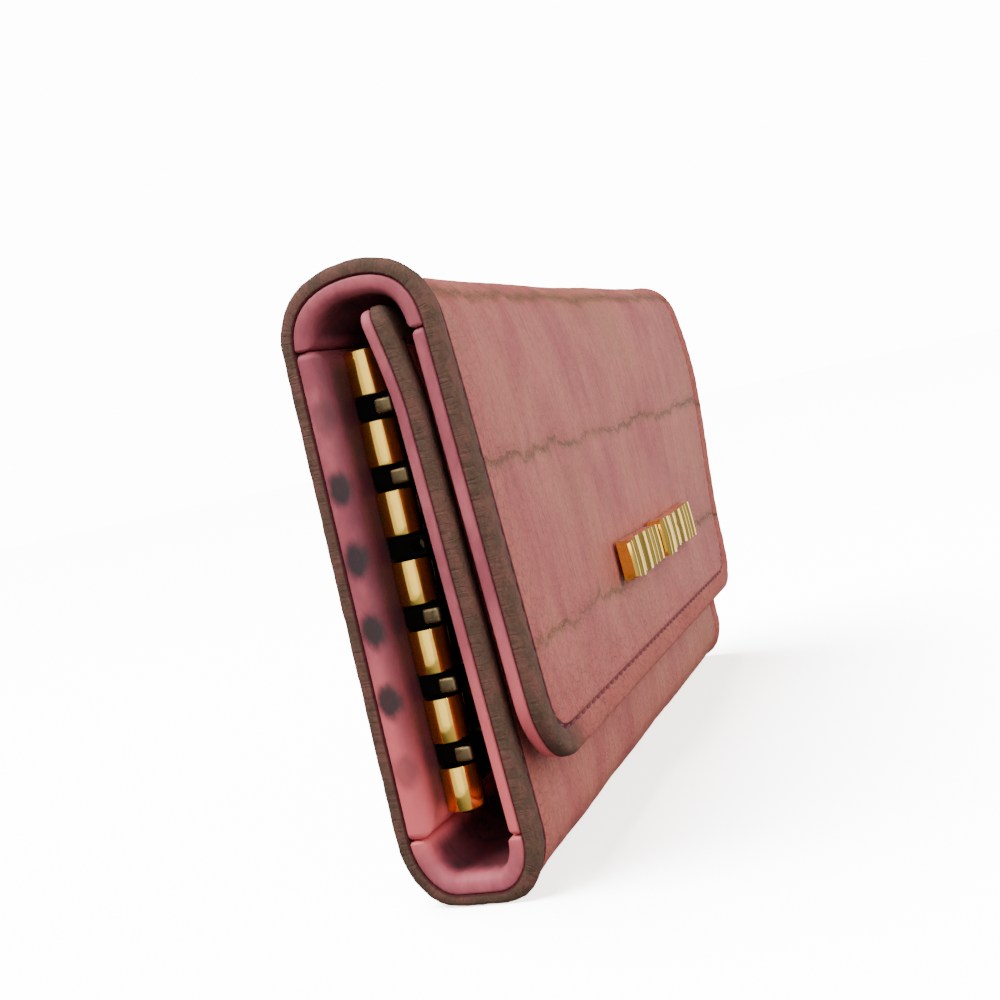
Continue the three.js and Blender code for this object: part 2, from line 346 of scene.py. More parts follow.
@dataclass(frozen=True)
class SeamScars:
    """The jagged brown lines that run along the case, where strips of skin meet.

    Distances are in millimetres on the flat-cut strip.
    """

    pitch: float = 19.7
    first: float = 12.3
    last: float = 130.0
    fade_out: float = 6.0
    shoulder: float = 51.7
    shoulder_reach: Span = (8.0, 4.0)
    coarse: Grain = Grain((0.22, 0.012, 1.0), 3.0, 0.6)
    coarse_sway: float = 3.4
    fine: Grain = Grain((1.1, 0.25, 1.0), 3.0, 0.7)
    fine_sway: float = 1.0
    jag_cells: Colour = (0.16, 0.012, 1.0)
    jag_sway: float = 1.1
    width: Grain = Grain((0.5, 0.05, 1.0), 2.0)
    widest: float = 1.1
    narrowing: float = -0.08
    core_power: float = 0.4
    halo: Span = (1.7, 0.2)
    halo_share: float = 0.34
    shoulder_share: float = 0.4
    crumb: Grain = Grain((1.3, 1.3, 1.0), 3.0, 0.7, span=(0.30, 0.55))
    faint: Grain = Grain((0.035, 0.03, 1.0), 2.0, span=(0.34, 0.58), share=0.45)
    end_gap: Span = (0.8, 3.2)

    def mask(self, sh: Shader) -> Socket:
        """How strongly a scar shows at each place.

        Args:
            sh: the leather's shader.

        Returns:
            A value from 0 to 1.
        """
        flat = sh.place(Space.CUT)
        down = sh.axis(flat, 1)
        cells = sh.add("TexVoronoi", {"Vector": sh.place(Space.CUT, self.jag_cells), "Scale": 1.0})
        shift = sh.math("ADD", sh.times(sh.noise(self.coarse), self.coarse_sway),
                        sh.times(sh.noise(self.fine), self.fine_sway))
        shift = sh.math("ADD", shift, sh.times(sh.axis(cells.outputs["Color"], 0), self.jag_sway))
        middle = (self.coarse_sway + self.fine_sway + self.jag_sway) / 2
        moved = sh.math("SUBTRACT", sh.math("ADD", down, shift), middle)
        wrapped = sh.math("WRAP", sh.math("SUBTRACT", moved, self.first), self.pitch / 2, -self.pitch / 2)
        away = sh.math("ABSOLUTE", wrapped)
        width = sh.math("MULTIPLY_ADD", sh.noise(self.width), self.widest, self.narrowing)
        core = sh.math("SUBTRACT", 1.0, sh.math("DIVIDE", away, width, clamp=True), clamp=True)
        from_shoulder = sh.math("ABSOLUTE", sh.math("SUBTRACT", moved, self.shoulder))
        strong = sh.step(from_shoulder, *self.shoulder_reach)
        halo = sh.times(sh.step(away, *self.halo),
                        sh.math("MULTIPLY_ADD", strong, self.shoulder_share, self.halo_share))
        line = sh.math("MAXIMUM", sh.math("POWER", core, self.core_power), halo)
        fade = sh.math("ADD", sh.shown(self.faint), 1.0 - self.faint.share)
        fade = sh.math("MAXIMUM", fade, strong)
        fade = sh.times(fade, sh.step(down, self.last + self.fade_out, self.last))
        ends = sh.step(sh.axis(flat, 0), *self.end_gap)
        return sh.math("MULTIPLY", sh.times(line, sh.shown(self.crumb), fade), ends, clamp=True)


@dataclass(frozen=True)
class RoseLeather:
    """Dusty rose skin with brown seam scars, a worn brown bound edge, a dark red glued seam line and a dark
    red stitch groove that is partly the thread's line and partly painted shade at the foot of the proud hem,
    fainter towards the far end.

    Distances are in millimetres from the strip's edge, along it, or below its outer face.
    """

    light: Colour = (0.500, 0.150, 0.112)
    deep: Colour = (0.385, 0.078, 0.078)
    tan: Colour = (0.400, 0.150, 0.080)
    flush: Colour = (0.430, 0.092, 0.074)
    scar: Colour = (0.160, 0.088, 0.034)
    worn: Colour = (0.090, 0.048, 0.032)
    worn_red: Colour = (0.140, 0.057, 0.043)
    # dark red of the glued seam line at the raw edge, also used for the painted shade in the stitch groove
    glue_and_groove_shade: Colour = (0.060, 0.007, 0.009)
    scars: SeamScars = SeamScars()
    scar_share: float = 0.9
    scar_relief: Span = (0.22, 1.0)
    blotch: Grain = Grain((0.10, 0.055, 1.0), 5.0, 0.6, 0.4, (0.30, 0.68))
    streak: Grain = Grain((0.50, 0.09, 1.0), 5.0, 0.65, 0.3, (0.42, 0.75), 0.45)
    cloud: Grain = Grain((0.035, 0.03, 1.0), 2.0, span=(0.45, 0.75), share=0.55)
    pores: Grain = Grain((2.6, 2.2, 1.0), 3.0, 0.65, span=(0.55, 0.75), share=0.40)
    veins: Grain = Grain((0.9, 0.07, 1.0), 5.0, 0.7, 0.7, (0.020, 0.0), 0.50)
    patch: Grain = Grain((0.48, 0.48, 0.28), 5.0, 0.65, 0.5, (0.44, 0.60), space=Space.OBJECT)
    fibre: Grain = Grain((2.4, 2.4, 1.2), 4.0, 0.7, 0.0, (0.48, 0.70), 0.35, (0.16, 0.7), Space.OBJECT)
    wrinkle: Grain = Grain((1.6, 0.34, 1.0), 5.0, 0.6, 0.5, relief=(0.28, 0.65))
    crease: Grain = Grain((0.55, 0.10, 1.0), 6.0, 0.65, 0.8, relief=(0.50, 0.6))
    pebble_cells: float = 2.4
    pebble_relief: Span = (0.07, 0.6)
    crack_drift: float = 0.9
    crack_warp: float = 2.4
    crack_stretch: Colour = (1.0, 1.5, 1.0)
    crack_cells: float = 0.55
    crack_width: Span = (0.07, 0.0)
    crack_reach: Span = (12.0, 4.0)
    crack_shares: Span = (0.42, 0.10)
    crack_relief: Span = (0.06, 0.6)
    flush_reach: Span = (9.0, 3.2)
    flush_share: float = 0.55
    binding: float = 2.95
    binding_soft: Span = (0.15, -0.3)
    binding_ragged: float = 0.8
    # the worn brown binding near the near end is real wear; the same mask sets the strength of the groove's
    # painted shade, fainter towards the far end
    wear_and_shade: Span = (14.0, 5.0)
    wear_and_shade_drift: float = 9.0
    far_wear_and_shade: float = 0.16
    groove_shade_near: Span = (2.72, 2.84)
    groove_shade_far: Span = (3.48, 3.28)
    groove_shade_shares: Span = (0.75, 0.25)
    outer_face: Span = (0.9, 0.5)
    raw_edge: Span = (1.05, 1.28)
    roughness: Span = (0.25, 0.46)
    worn_roughness: float = 0.25
    worn_reach: Span = (3.0, 2.4)
    specular: float = 0.30

    def cracks(self, sh: Shader) -> Socket:
        """Fine branching creases of the skin.

        Args:
            sh: the leather's shader.

        Returns:
            A value from 0 to 1.
        """
        inputs = {"Vector": sh.place(Space.CUT), "Scale": self.crack_drift, "Detail": 3.0}
        drift = sh.add("TexNoise", inputs).outputs["Color"]
        warped = sh.vector_math("MULTIPLY_ADD", drift, (self.crack_warp,) * 3,
                                sh.place(Space.CUT, self.crack_stretch))
        cells = sh.add("TexVoronoi", {"Vector": warped, "Scale": self.crack_cells},
                       feature="DISTANCE_TO_EDGE")
        return sh.step(cells.outputs["Distance"], *self.crack_width)

    def skin(self, sh: Shader, edge: Socket, cloud: Socket, pores: Socket) -> Socket:
        """The rose colour of the unworn skin.

        Args:
            sh: the leather's shader.
            edge: distance from the strip's edge.
            cloud: the broad pattern.
            pores: the fine pattern.

        Returns:
            The colour.
        """
        colour = sh.mix(sh.shown(self.blotch), self.deep, self.light)
        colour = sh.mix(sh.shown(self.streak), colour, self.light)
        colour = sh.mix(sh.shown(self.cloud, cloud), colour, self.tan)
        colour = sh.mix(sh.shown(self.pores, pores), colour, self.deep)
        vein = sh.math("ABSOLUTE", sh.math("SUBTRACT", sh.noise(self.veins), 0.5))
        colour = sh.mix(sh.shown(self.veins, vein), colour, self.worn_red)
        return sh.mix(sh.times(sh.step(edge, *self.flush_reach), self.flush_share), colour, self.flush)

    def make(self) -> bpy.types.Material:
        """Builds the material.

        Returns:
            The material.
        """
        sh = Shader("rose_leather_worn")
        edge, depth = sh.attribute("edge_mm"), sh.attribute("depth_mm")
        cloud, pores = sh.noise(self.cloud), sh.noise(self.pores)
        patch, fibre = sh.noise(self.patch), sh.noise(self.fibre)
        cracks, scars = self.cracks(sh), self.scars.mask(sh)
        colour = self.skin(sh, edge, cloud, pores)
        reach = sh.math("MULTIPLY_ADD", sh.step(edge, *self.crack_reach), *self.crack_shares)
        colour = sh.mix(sh.times(cracks, reach), colour, self.worn_red)
        colour = sh.mix(sh.times(scars, self.scar_share), colour, self.scar)
        worn = sh.mix(sh.shown(self.patch, patch), self.worn, self.worn_red)
        worn = sh.mix(sh.shown(self.fibre, fibre), worn, self.scar)
        ragged = sh.math("ADD", edge, sh.sway(patch, self.binding_ragged))
        drift = sh.math("ADD", sh.axis(sh.place(Space.CUT), 0), sh.sway(cloud, self.wear_and_shade_drift))
        wear_and_shade = sh.math("MAXIMUM", sh.step(drift, *self.wear_and_shade), self.far_wear_and_shade)
        rim = sh.step(ragged, *(self.binding + soft for soft in self.binding_soft))
        colour = sh.mix(sh.times(rim, wear_and_shade), colour, worn)
        # painted shade: the stitch groove and the foot of the proud hem are darkened to glued red, partly
        # the thread's line; stronger at the near end, fainter towards the far end
        groove = sh.times(sh.step(edge, *self.groove_shade_near), sh.step(edge, *self.groove_shade_far),
                          sh.step(depth, *self.outer_face))
        dark = sh.math("MULTIPLY_ADD", wear_and_shade, *self.groove_shade_shares)
        colour = sh.mix(sh.times(groove, dark), colour, self.glue_and_groove_shade)
        colour = sh.mix(sh.step(depth, *self.raw_edge), colour, self.glue_and_groove_shade)
        rough = sh.math("ADD", sh.math("MULTIPLY_ADD", pores, *self.roughness),
                        sh.times(sh.step(ragged, *self.worn_reach), self.worn_roughness))
        pebbles = sh.add("TexVoronoi", {"Vector": sh.place(Space.CUT), "Scale": self.pebble_cells})
        normal = sh.reliefs((
            (sh.noise(self.wrinkle), self.wrinkle.relief), (sh.noise(self.crease), self.crease.relief),
            (pebbles.outputs["Distance"], self.pebble_relief), (fibre, self.fibre.relief),
            (sh.flipped(scars), self.scar_relief), (sh.flipped(cracks), self.crack_relief)))
        sh.dress(Base_Color=colour, Roughness=rough, Specular_IOR_Level=self.specular, Normal=normal)
        return sh.material


@dataclass(frozen=True)
class PinkLining:
    """Smooth pink lining leather, greyed by keys near the hooks, with painted light low down, painted shade
    on its inner faces and higher up, and dark smudges that are partly sooty dirt and partly painted shade.

    Distances are in millimetres.
    """

    pink: Colour = (0.540, 0.128, 0.155)
    deep: Colour = (0.350, 0.074, 0.100)
    # painted light: a brighter pink for the lower part of the lining
    painted_light: Colour = (0.920, 0.155, 0.170)
    # dark grey for the rub marks, and for the smudges, which are partly sooty dirt and partly painted shade
    soot: Colour = (0.035, 0.028, 0.030)
    # painted shade colour for the lining's inner faces
    painted_shade: Colour = (0.055, 0.012, 0.018)
    blotch: Grain = Grain((0.12, 0.2, 0.12), 4.0, 0.6, span=(0.35, 0.68), space=Space.OBJECT)
    smudge_and_shade: Grain = Grain((0.35, 0.35, 0.13), 5.0, 0.65, 0.6, (0.46, 0.70), 0.85, space=Space.OBJECT)
    fine: Grain = Grain((2.2, 2.2, 2.2), 4.0, 0.6, relief=(0.05, 0.4), space=Space.OBJECT)
    crease: Grain = Grain((0.8, 0.8, 0.25), 4.0, 0.6, 0.4, relief=(0.15, 0.4), space=Space.OBJECT)
    ragged: Grain = Grain((0.9, 0.9, 0.5), 4.0, 0.6, space=Space.OBJECT)
    painted_light_from: Span = (34.0, 12.0)
    painted_light_down_to: Span = (4.0, 9.0)
    painted_light_share: float = 0.75
    shade_depth: Span = (2.3, 4.1)
    shade_height: Span = (6.0, 22.0)
    shade_share: float = 0.65
    inner_shade_edge: Span = (1.3, 4.0)
    inner_shade_ragged: float = 1.2
    inner_shade_share: float = 0.80
    mark_half: Colour = (2.4, 1.55, 2.35)
    mark_ragged: float = 0.6
    mark_rim: Span = (1.15, 0.45)
    mark_share: float = 0.95
    end_mark_share: float = 0.45
    roughness: float = 0.60
    specular: float = 0.25

    def rub_marks(self, sh: Shader, centres: Sequence[Vector]) -> Socket:
        """Grey rub marks, one at each centre and fainter at the two ends.

        Args:
            sh: the lining's shader.
            centres: their places in metres.

        Returns:
            How strongly a mark shows, from 0 to 1.
        """
        place = sh.place(Space.OBJECT)
        ragged = sh.sway(sh.noise(self.ragged), self.mark_ragged)
        total: object = 0.0
        for centre in centres:
            share = self.end_mark_share if centre in (centres[0], centres[-1]) else self.mark_share
            offset = sh.vector_math("SUBTRACT", place, tuple(centre / MM))
            scaled = sh.vector_math("MULTIPLY", offset, tuple(1 / half for half in self.mark_half))
            reach = sh.math("ADD", sh.vector_math("LENGTH", scaled), ragged)
            total = sh.math("MAXIMUM", total, sh.times(sh.step(reach, *self.mark_rim), share))
        return total

    def make(self, marks: Sequence[Vector]) -> bpy.types.Material:
        """Builds the material.

        Args:
            marks: centres of its rub marks.

        Returns:
            The material.
        """
        sh = Shader("pink_lining_leather")
        edge, depth = sh.attribute("edge_mm"), sh.attribute("depth_mm")
        height = sh.axis(sh.place(Space.OBJECT), 2)
        smudge_and_shade = sh.noise(self.smudge_and_shade)
        colour = sh.mix(sh.shown(self.blotch), self.deep, self.pink)
        # painted light: the lining is brighter pink low down, between about 9 and 34 mm up
        painted_light = sh.times(sh.step(height, *self.painted_light_from), sh.step(height, *self.painted_light_down_to))
        colour = sh.mix(sh.times(painted_light, self.painted_light_share), colour, self.painted_light)
        shaded = sh.times(sh.step(depth, *self.shade_depth), sh.step(height, *self.shade_height))
        colour = sh.mix(sh.times(shaded, self.shade_share), colour, self.painted_shade)
        # painted shade: the inner faces darken away from the lit outline
        inner = sh.step(sh.math("ADD", edge, sh.times(smudge_and_shade, self.inner_shade_ragged)), *self.inner_shade_edge)
        colour = sh.mix(sh.times(inner, self.inner_shade_share), colour, self.painted_shade)
        # dark smudges on the inner faces, partly sooty dirt and partly painted shade
        colour = sh.mix(sh.times(sh.shown(self.smudge_and_shade, smudge_and_shade), inner), colour, self.soot)
        colour = sh.mix(self.rub_marks(sh, marks), colour, self.soot)
        normal = sh.reliefs((sh.noise(grain), grain.relief) for grain in (self.crease, self.fine))
        sh.dress(Base_Color=colour, Roughness=self.roughness, Specular_IOR_Level=self.specular,
                 Normal=normal)
        return sh.material


@dataclass(frozen=True)
class PlainMetal:
    """A metal with faint variation and, if tarnished, dark spots."""

    name: str
    colour: Colour
    roughness: float
    tarnish: float
    dark: Colour
    spots: Grain = Grain((1.3, 1.3, 1.3), 4.0, 0.6, span=(0.45, 0.75), space=Space.OBJECT)
    scratch: Grain = Grain((6.0, 6.0, 0.8), 3.0, 0.6, share=0.10, space=Space.OBJECT)
    wave: Grain = Grain((0.5, 0.5, 0.22), 2.0, 0.5, relief=(0.10, 0.35), space=Space.OBJECT)

    def make(self) -> bpy.types.Material:
        """Builds the material.

        Returns:
            The material.
        """
        sh = Shader(self.name)
        colour = sh.mix(sh.times(sh.shown(self.spots), self.tarnish), self.colour, self.dark)
        rough = sh.math("MULTIPLY_ADD", sh.noise(self.scratch), self.scratch.share, self.roughness)
        normal = sh.reliefs([(sh.noise(self.wave), self.wave.relief)])
        sh.dress(Metallic=1.0, Base_Color=colour, Roughness=rough, Normal=normal)
        return sh.material


@dataclass(frozen=True)
class FleckedFinish:
    """A rough plain finish of two mixed colours, for thread and board."""

    name: str
    colour: Colour
    fleck: Colour
    roughness: float
    grain: Grain

    def make(self) -> bpy.types.Material:
        """Builds the material.

        Returns:
            The material.
        """
        sh = Shader(self.name)
        colour = sh.mix(sh.shown(self.grain), self.colour, self.fleck)
        sh.dress(Base_Color=colour, Roughness=self.roughness)
        return sh.material


GOLD = PlainMetal("polished_gold_plate", (0.91, 0.58, 0.09), 0.07, 0.15, (0.45, 0.22, 0.04))
# painted shade: the rack plate's strip behind the knuckles is near black, standing for the shade deep inside
# the case
PAINTED_SHADE_PLATE = PlainMetal("sooted_plate", (0.09, 0.06, 0.04), 0.5, 0.5, (0.02, 0.015, 0.012))
DULL_GOLD = PlainMetal("dull_gold", (0.34, 0.26, 0.13), 0.45, 0.7, (0.10, 0.07, 0.035))
STEEL = PlainMetal("dark_steel", (0.009, 0.008, 0.007), 0.55, 0.4, (0.005, 0.005, 0.004))
THREAD = FleckedFinish("burgundy_thread", (0.115, 0.016, 0.024), (0.20, 0.05, 0.055), 0.7,
                       Grain((3.0, 3.0, 3.0), 3.0, share=0.5, space=Space.OBJECT))
BOARD = FleckedFinish("pressed_board", (0.42, 0.36, 0.26), (0.25, 0.2, 0.14), 0.9,
                      Grain((1.5, 1.5, 1.5), 5.0, 0.7, span=(0.4, 0.7), space=Space.OBJECT))


@dataclass
class Finishes:
    """Every material of the case.

    Args:
        marks: centres of the grey rub marks on the back lining's edge.
    """

    marks: list[Vector]

    def __post_init__(self) -> None:
        """Builds each material once."""
        self.leather = RoseLeather().make()
        self.lining = PinkLining().make(self.marks)
        self.gold, self.sooted, self.dull_gold = GOLD.make(), PAINTED_SHADE_PLATE.make(), DULL_GOLD.make()
        self.steel, self.thread, self.board = STEEL.make(), THREAD.make(), BOARD.make()


# ---- mesh helpers -----------------------------------------------------------------------------

def finish_piece(name: str, bm: bmesh.types.BMesh, material: bpy.types.Material,
                 smooth_angle: float = 40.0) -> bpy.types.Object:
    """Turns a bmesh into a smooth-shaded piece.

    Args:
        name: the piece's name.
        bm: its mesh, which is freed.
        material: its material.
        smooth_angle: edges sharper than this stay sharp.

    Returns:
        The object, at the origin.
    """
    for edge in bm.edges:
        if len(edge.link_faces) == 2 and edge.calc_face_angle(0.0) > math.radians(smooth_angle):
            edge.smooth = False
    for face in bm.faces:
        face.smooth = True
    mesh = bpy.data.meshes.new(name)
    bm.to_mesh(mesh)
    bm.free()
    mesh.materials.append(material)
    piece = bpy.data.objects.new(name, mesh)
    bpy.context.scene.collection.objects.link(piece)
    return piece


def lathe(bm: bmesh.types.BMesh, profile: Sequence[tuple[float, float]], centre: Vector, axis: Vector,
          steps: int = 40) -> None:
    """Spins a closed or axis-to-axis profile into a closed solid.

    Args:
        bm: where it is added.
        profile: (radius, distance along the axis) pairs in metres.
        centre: where distance 0 lies.
        axis: the axis direction.
        steps: sides of the turned shape.
    """
    side = axis.orthogonal().normalized()
    axis = axis.normalized()
    points = [bm.verts.new(centre + side * radius + axis * reach) for radius, reach in profile]
    on_axis = profile[0][0] < 1e-9 and profile[-1][0] < 1e-9
    count = len(points) - 1 if on_axis else len(points)
    edges = [bm.edges.new((points[i], points[(i + 1) % len(points)])) for i in range(count)]
    result = bmesh.ops.spin(bm, geom=points + edges, cent=centre, axis=axis, angle=math.tau,
                            steps=steps, use_merge=True)
    touched = {v for v in result["geom_last"] if isinstance(v, bmesh.types.BMVert)} | set(points)
    linked = set(touched)
    stack = list(touched)
    while stack:
        for edge in stack.pop().link_edges:
            for vert in edge.verts:
                if vert not in linked:
                    linked.add(vert)
                    stack.append(vert)
    bmesh.ops.remove_doubles(bm, verts=list(linked), dist=1e-7)
    faces = {face for vert in linked if vert.is_valid for face in vert.link_faces}
    bmesh.ops.recalc_face_normals(bm, faces=list(faces))


def rounded_box(bm: bmesh.types.BMesh, low: Vector, high: Vector, radius: float, segments: int = 2) -> None:
    """Adds a box with rounded edges.

    Args:
        bm: where it is added.
        low: its lowest corner.
        high: its highest corner.
        radius: of the rounding.
        segments: of the rounding.
    """
    made = bmesh.ops.create_cube(bm, size=1.0)["verts"]
    size, middle = high - low, (high + low) / 2
    bmesh.ops.scale(bm, vec=size, verts=made)
    bmesh.ops.translate(bm, vec=middle, verts=made)
    edges = list({edge for vert in made for edge in vert.link_edges})
    bmesh.ops.bevel(bm, geom=edges, offset=radius, offset_type="OFFSET", segments=segments, profile=0.5,
                    affect="EDGES", material=-1)


# ---- the folded profile -----------------------------------------------------------------------

def bezier(p0: Vector, p1: Vector, p2: Vector, p3: Vector, steps: int = 48) -> list[Vector]:
    """Points of a cubic curve.

    Args:
        p0: start.
        p1: first handle.
        p2: second handle.
        p3: end.
        steps: how many spans.

    Returns:
        The points, both ends included.
    """
    points = []
    for index in range(steps + 1):
        t = index / steps
        points.append(p0 * (1 - t) ** 3 + p1 * 3 * t * (1 - t) ** 2 + p2 * 3 * t * t * (1 - t) + p3 * t ** 3)
    return points


@dataclass
class Profile:
    """The outer line of the case's cross-section, from the flap's edge round to the front panel's top.

    Distances along it are in metres; depth runs in from the outer face.
    """

    flat_half: float = 2.3 * MM
    flat_centre: float = 2.832 * MM
    leather: float = 1.1 * MM
    top_sink: float = 1.15 * MM
    body_sink: float = 0.25 * MM
    far_flare: float = 2.7 * MM
    near_lean: float = 1.6 * MM
    near_lift: float = 2.0 * MM
    foot_tuck: float = 0.15 * MM
    peak_forward: float = 0.35 * MM
    brow: float = 0.2 * MM
    front_rise: float = 0.70
    back_rise: float = 0.63
    crown: float = 0.60
    back_drop: float = 0.51
    front_drop: float = 0.58
    front_bulge: float = 0.35 * MM
    toe: float = 0.55
    sink_along: Span = (1.5 * MM, 8 * MM)
    sink_front: Span = (9 * MM, 3 * MM)
    sink_back: Span = (3 * MM, 8 * MM)
    flare_front: Span = (6 * MM, 6 * MM)
    flare_back: Span = (5 * MM, 4 * MM)
    flare_from: float = -8 * MM
    lean_reach: float = 9 * MM
    lean_power: float = 1.5
    lean_along: Span = (3 * MM, 26 * MM)
    lift_along: Span = (2 * MM, 15 * MM)

    def __post_init__(self) -> None:
        """Reads the corners of the section from the frame."""
        joints = {joint["name"]: Vector(joint["pos_m"]).yz for joint in frame["joints"]}
        self.flap_top, self.back_top = joints["flap_hinge"], joints["top_fold_hinge"]
        self.front_foot = joints["front_panel_hinge"]
        flap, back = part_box("flap_outer_leather"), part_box("back_outer_leather")
        front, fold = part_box("front_outer_leather"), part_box("top_fold_outer_leather")
        self.x0, self.x1 = flap[0].x, flap[1].x
        flap_edge = Vector((flap[0].y, flap[0].z))
        back_foot = Vector((self.back_top.x, back[0].z - self.foot_tuck))
        front_top = Vector((front[1].y - self.leather, front[1].z))
        peak = Vector((fold[0].y + fold[1].y, 2 * fold[1].z)) / 2 + Vector((-self.peak_forward, 0))
        rise_front, rise_back = peak.y - self.flap_top.y, peak.y - self.back_top.y
        flat_front = Vector((self.flat_centre - self.flat_half, 0))
        flat_back = Vector((self.flat_centre + self.flat_half, 0))
        runs = [
            [flap_edge, self.flap_top],
            bezier(self.flap_top, self.flap_top + Vector((self.brow, self.front_rise * rise_front)),
                   peak.lerp(Vector((self.flap_top.x, peak.y)), self.crown), peak),
            bezier(peak, peak.lerp(Vector((self.back_top.x, peak.y)), self.crown),
                   self.back_top + Vector((0, self.back_rise * rise_back)), self.back_top),
            [self.back_top, back_foot],
            bezier(back_foot, back_foot + Vector((0, -self.back_drop * back_foot.y)),
                   flat_back + Vector((self.toe * (back_foot.x - flat_back.x), 0)), flat_back),
            [flat_back, flat_front],
            bezier(flat_front, flat_front + Vector((-self.toe * (flat_front.x - self.front_foot.x), 0)),
                   self.front_foot + Vector((-self.front_bulge, -self.front_drop * self.front_foot.y)),
                   self.front_foot),
            [self.front_foot, front_top],
        ]
        self.points: list[Vector] = [runs[0][0]]
        self.marks = [0.0]
        reach, self.lengths = 0.0, [0.0]
        for run in runs:
            for point in run[1:]:
                reach += (point - self.points[-1]).length
                self.points.append(point)
                self.lengths.append(reach)
            self.marks.append(reach)
        (_, self.s_flap_top, self.s_peak, self.s_back_top, self.s_back_foot, self.s_flat_back,
         self.s_flat_front, self.s_front_foot, self.s_end) = self.marks

    def at(self, s: float) -> tuple[Vector, Vector]:
        """Finds a place on the line.

        Args:
            s: its distance along the line.

        Returns:
            The point, and the direction into the case there.
        """
        s = min(max(s, 0.0), self.s_end - 1e-9)
        low, high = 0, len(self.lengths) - 1
        while high - low > 1:
            middle = (low + high) // 2
            if self.lengths[middle] <= s:
                low = middle
            else:
                high = middle
        span = self.lengths[high] - self.lengths[low]
        t = (s - self.lengths[low]) / span
        point = self.points[low].lerp(self.points[high], t)
        ahead = self.tangent(low).lerp(self.tangent(high), t).normalized()
        return point, Vector((ahead.y, -ahead.x))

    def tangent(self, index: int) -> Vector:
        """The direction of the line at one of its points.

        Args:
            index: which point.

        Returns:
            The direction.
        """
        before = self.points[max(index - 1, 0)]
        after = self.points[min(index + 1, len(self.points) - 1)]
        return (after - before).normalized()

    def sink(self, x: float, s: float) -> float:
        """How far the folded case sinks in away from its stiff near end.

        Args:
            x: place along the case.
            s: distance along the line.

        Returns:
            The depth in metres.
        """
        front = smooth(self.s_flap_top - self.sink_front[0], self.s_peak - self.sink_front[1], s)
        back = smooth(self.s_peak + self.sink_back[0], self.s_back_top + self.sink_back[1], s)
        top = front * (1 - back)
        return smooth(*self.sink_along, x - self.x0) * (self.top_sink * top + self.body_sink)

    def flare(self, x: float, s: float) -> float:
        """How far the top of the flap stands forward towards the far end, where no rack holds it.

        Args:
            x: place along the case.
            s: distance along the line.

        Returns:
            The distance in metres.
        """
        front = smooth(self.flare_front[0], self.s_flap_top - self.flare_front[1], s)
        back = smooth(self.s_peak - self.flare_back[0], self.s_back_top - self.flare_back[1], s)
        return self.far_flare * (front * (1 - back)) * smooth(self.flare_from, self.x1, x)

    def lean(self, x: float, s: float) -> Vector:
        """How far the near top end of the front panel leans in over the rack, and how far it rises.

        Args:
            x: place along the case.
            s: distance along the line.

        Returns:
            The move in metres.
        """
        climb = min(max((s - self.s_end) / self.lean_reach + 1, 0.0), 1.0) ** self.lean_power
        over = climb * (1 - smooth(*(self.x0 + reach for reach in self.lean_along), x))
        up = climb * (1 - smooth(*(self.x0 + reach for reach in self.lift_along), x))
        return Vector((0, self.near_lean * over, self.near_lift * up))

    def place(self, x: float, s: float, depth: float) -> Vector:
        """Folds a place on the strip round the case.

        Args:
            x: place along the case.
            s: distance along the line.
            depth: how far below the outer face it lies.

        Returns:
            The point in the world.
        """
        point, inward = self.at(s)
        point = point + inward * (depth + self.sink(x, s))
        return Vector((x, point.x - self.flare(x, s), point.y)) + self.lean(x, s)


# ---- pieces cut flat and folded -----------------------------------------------------------------

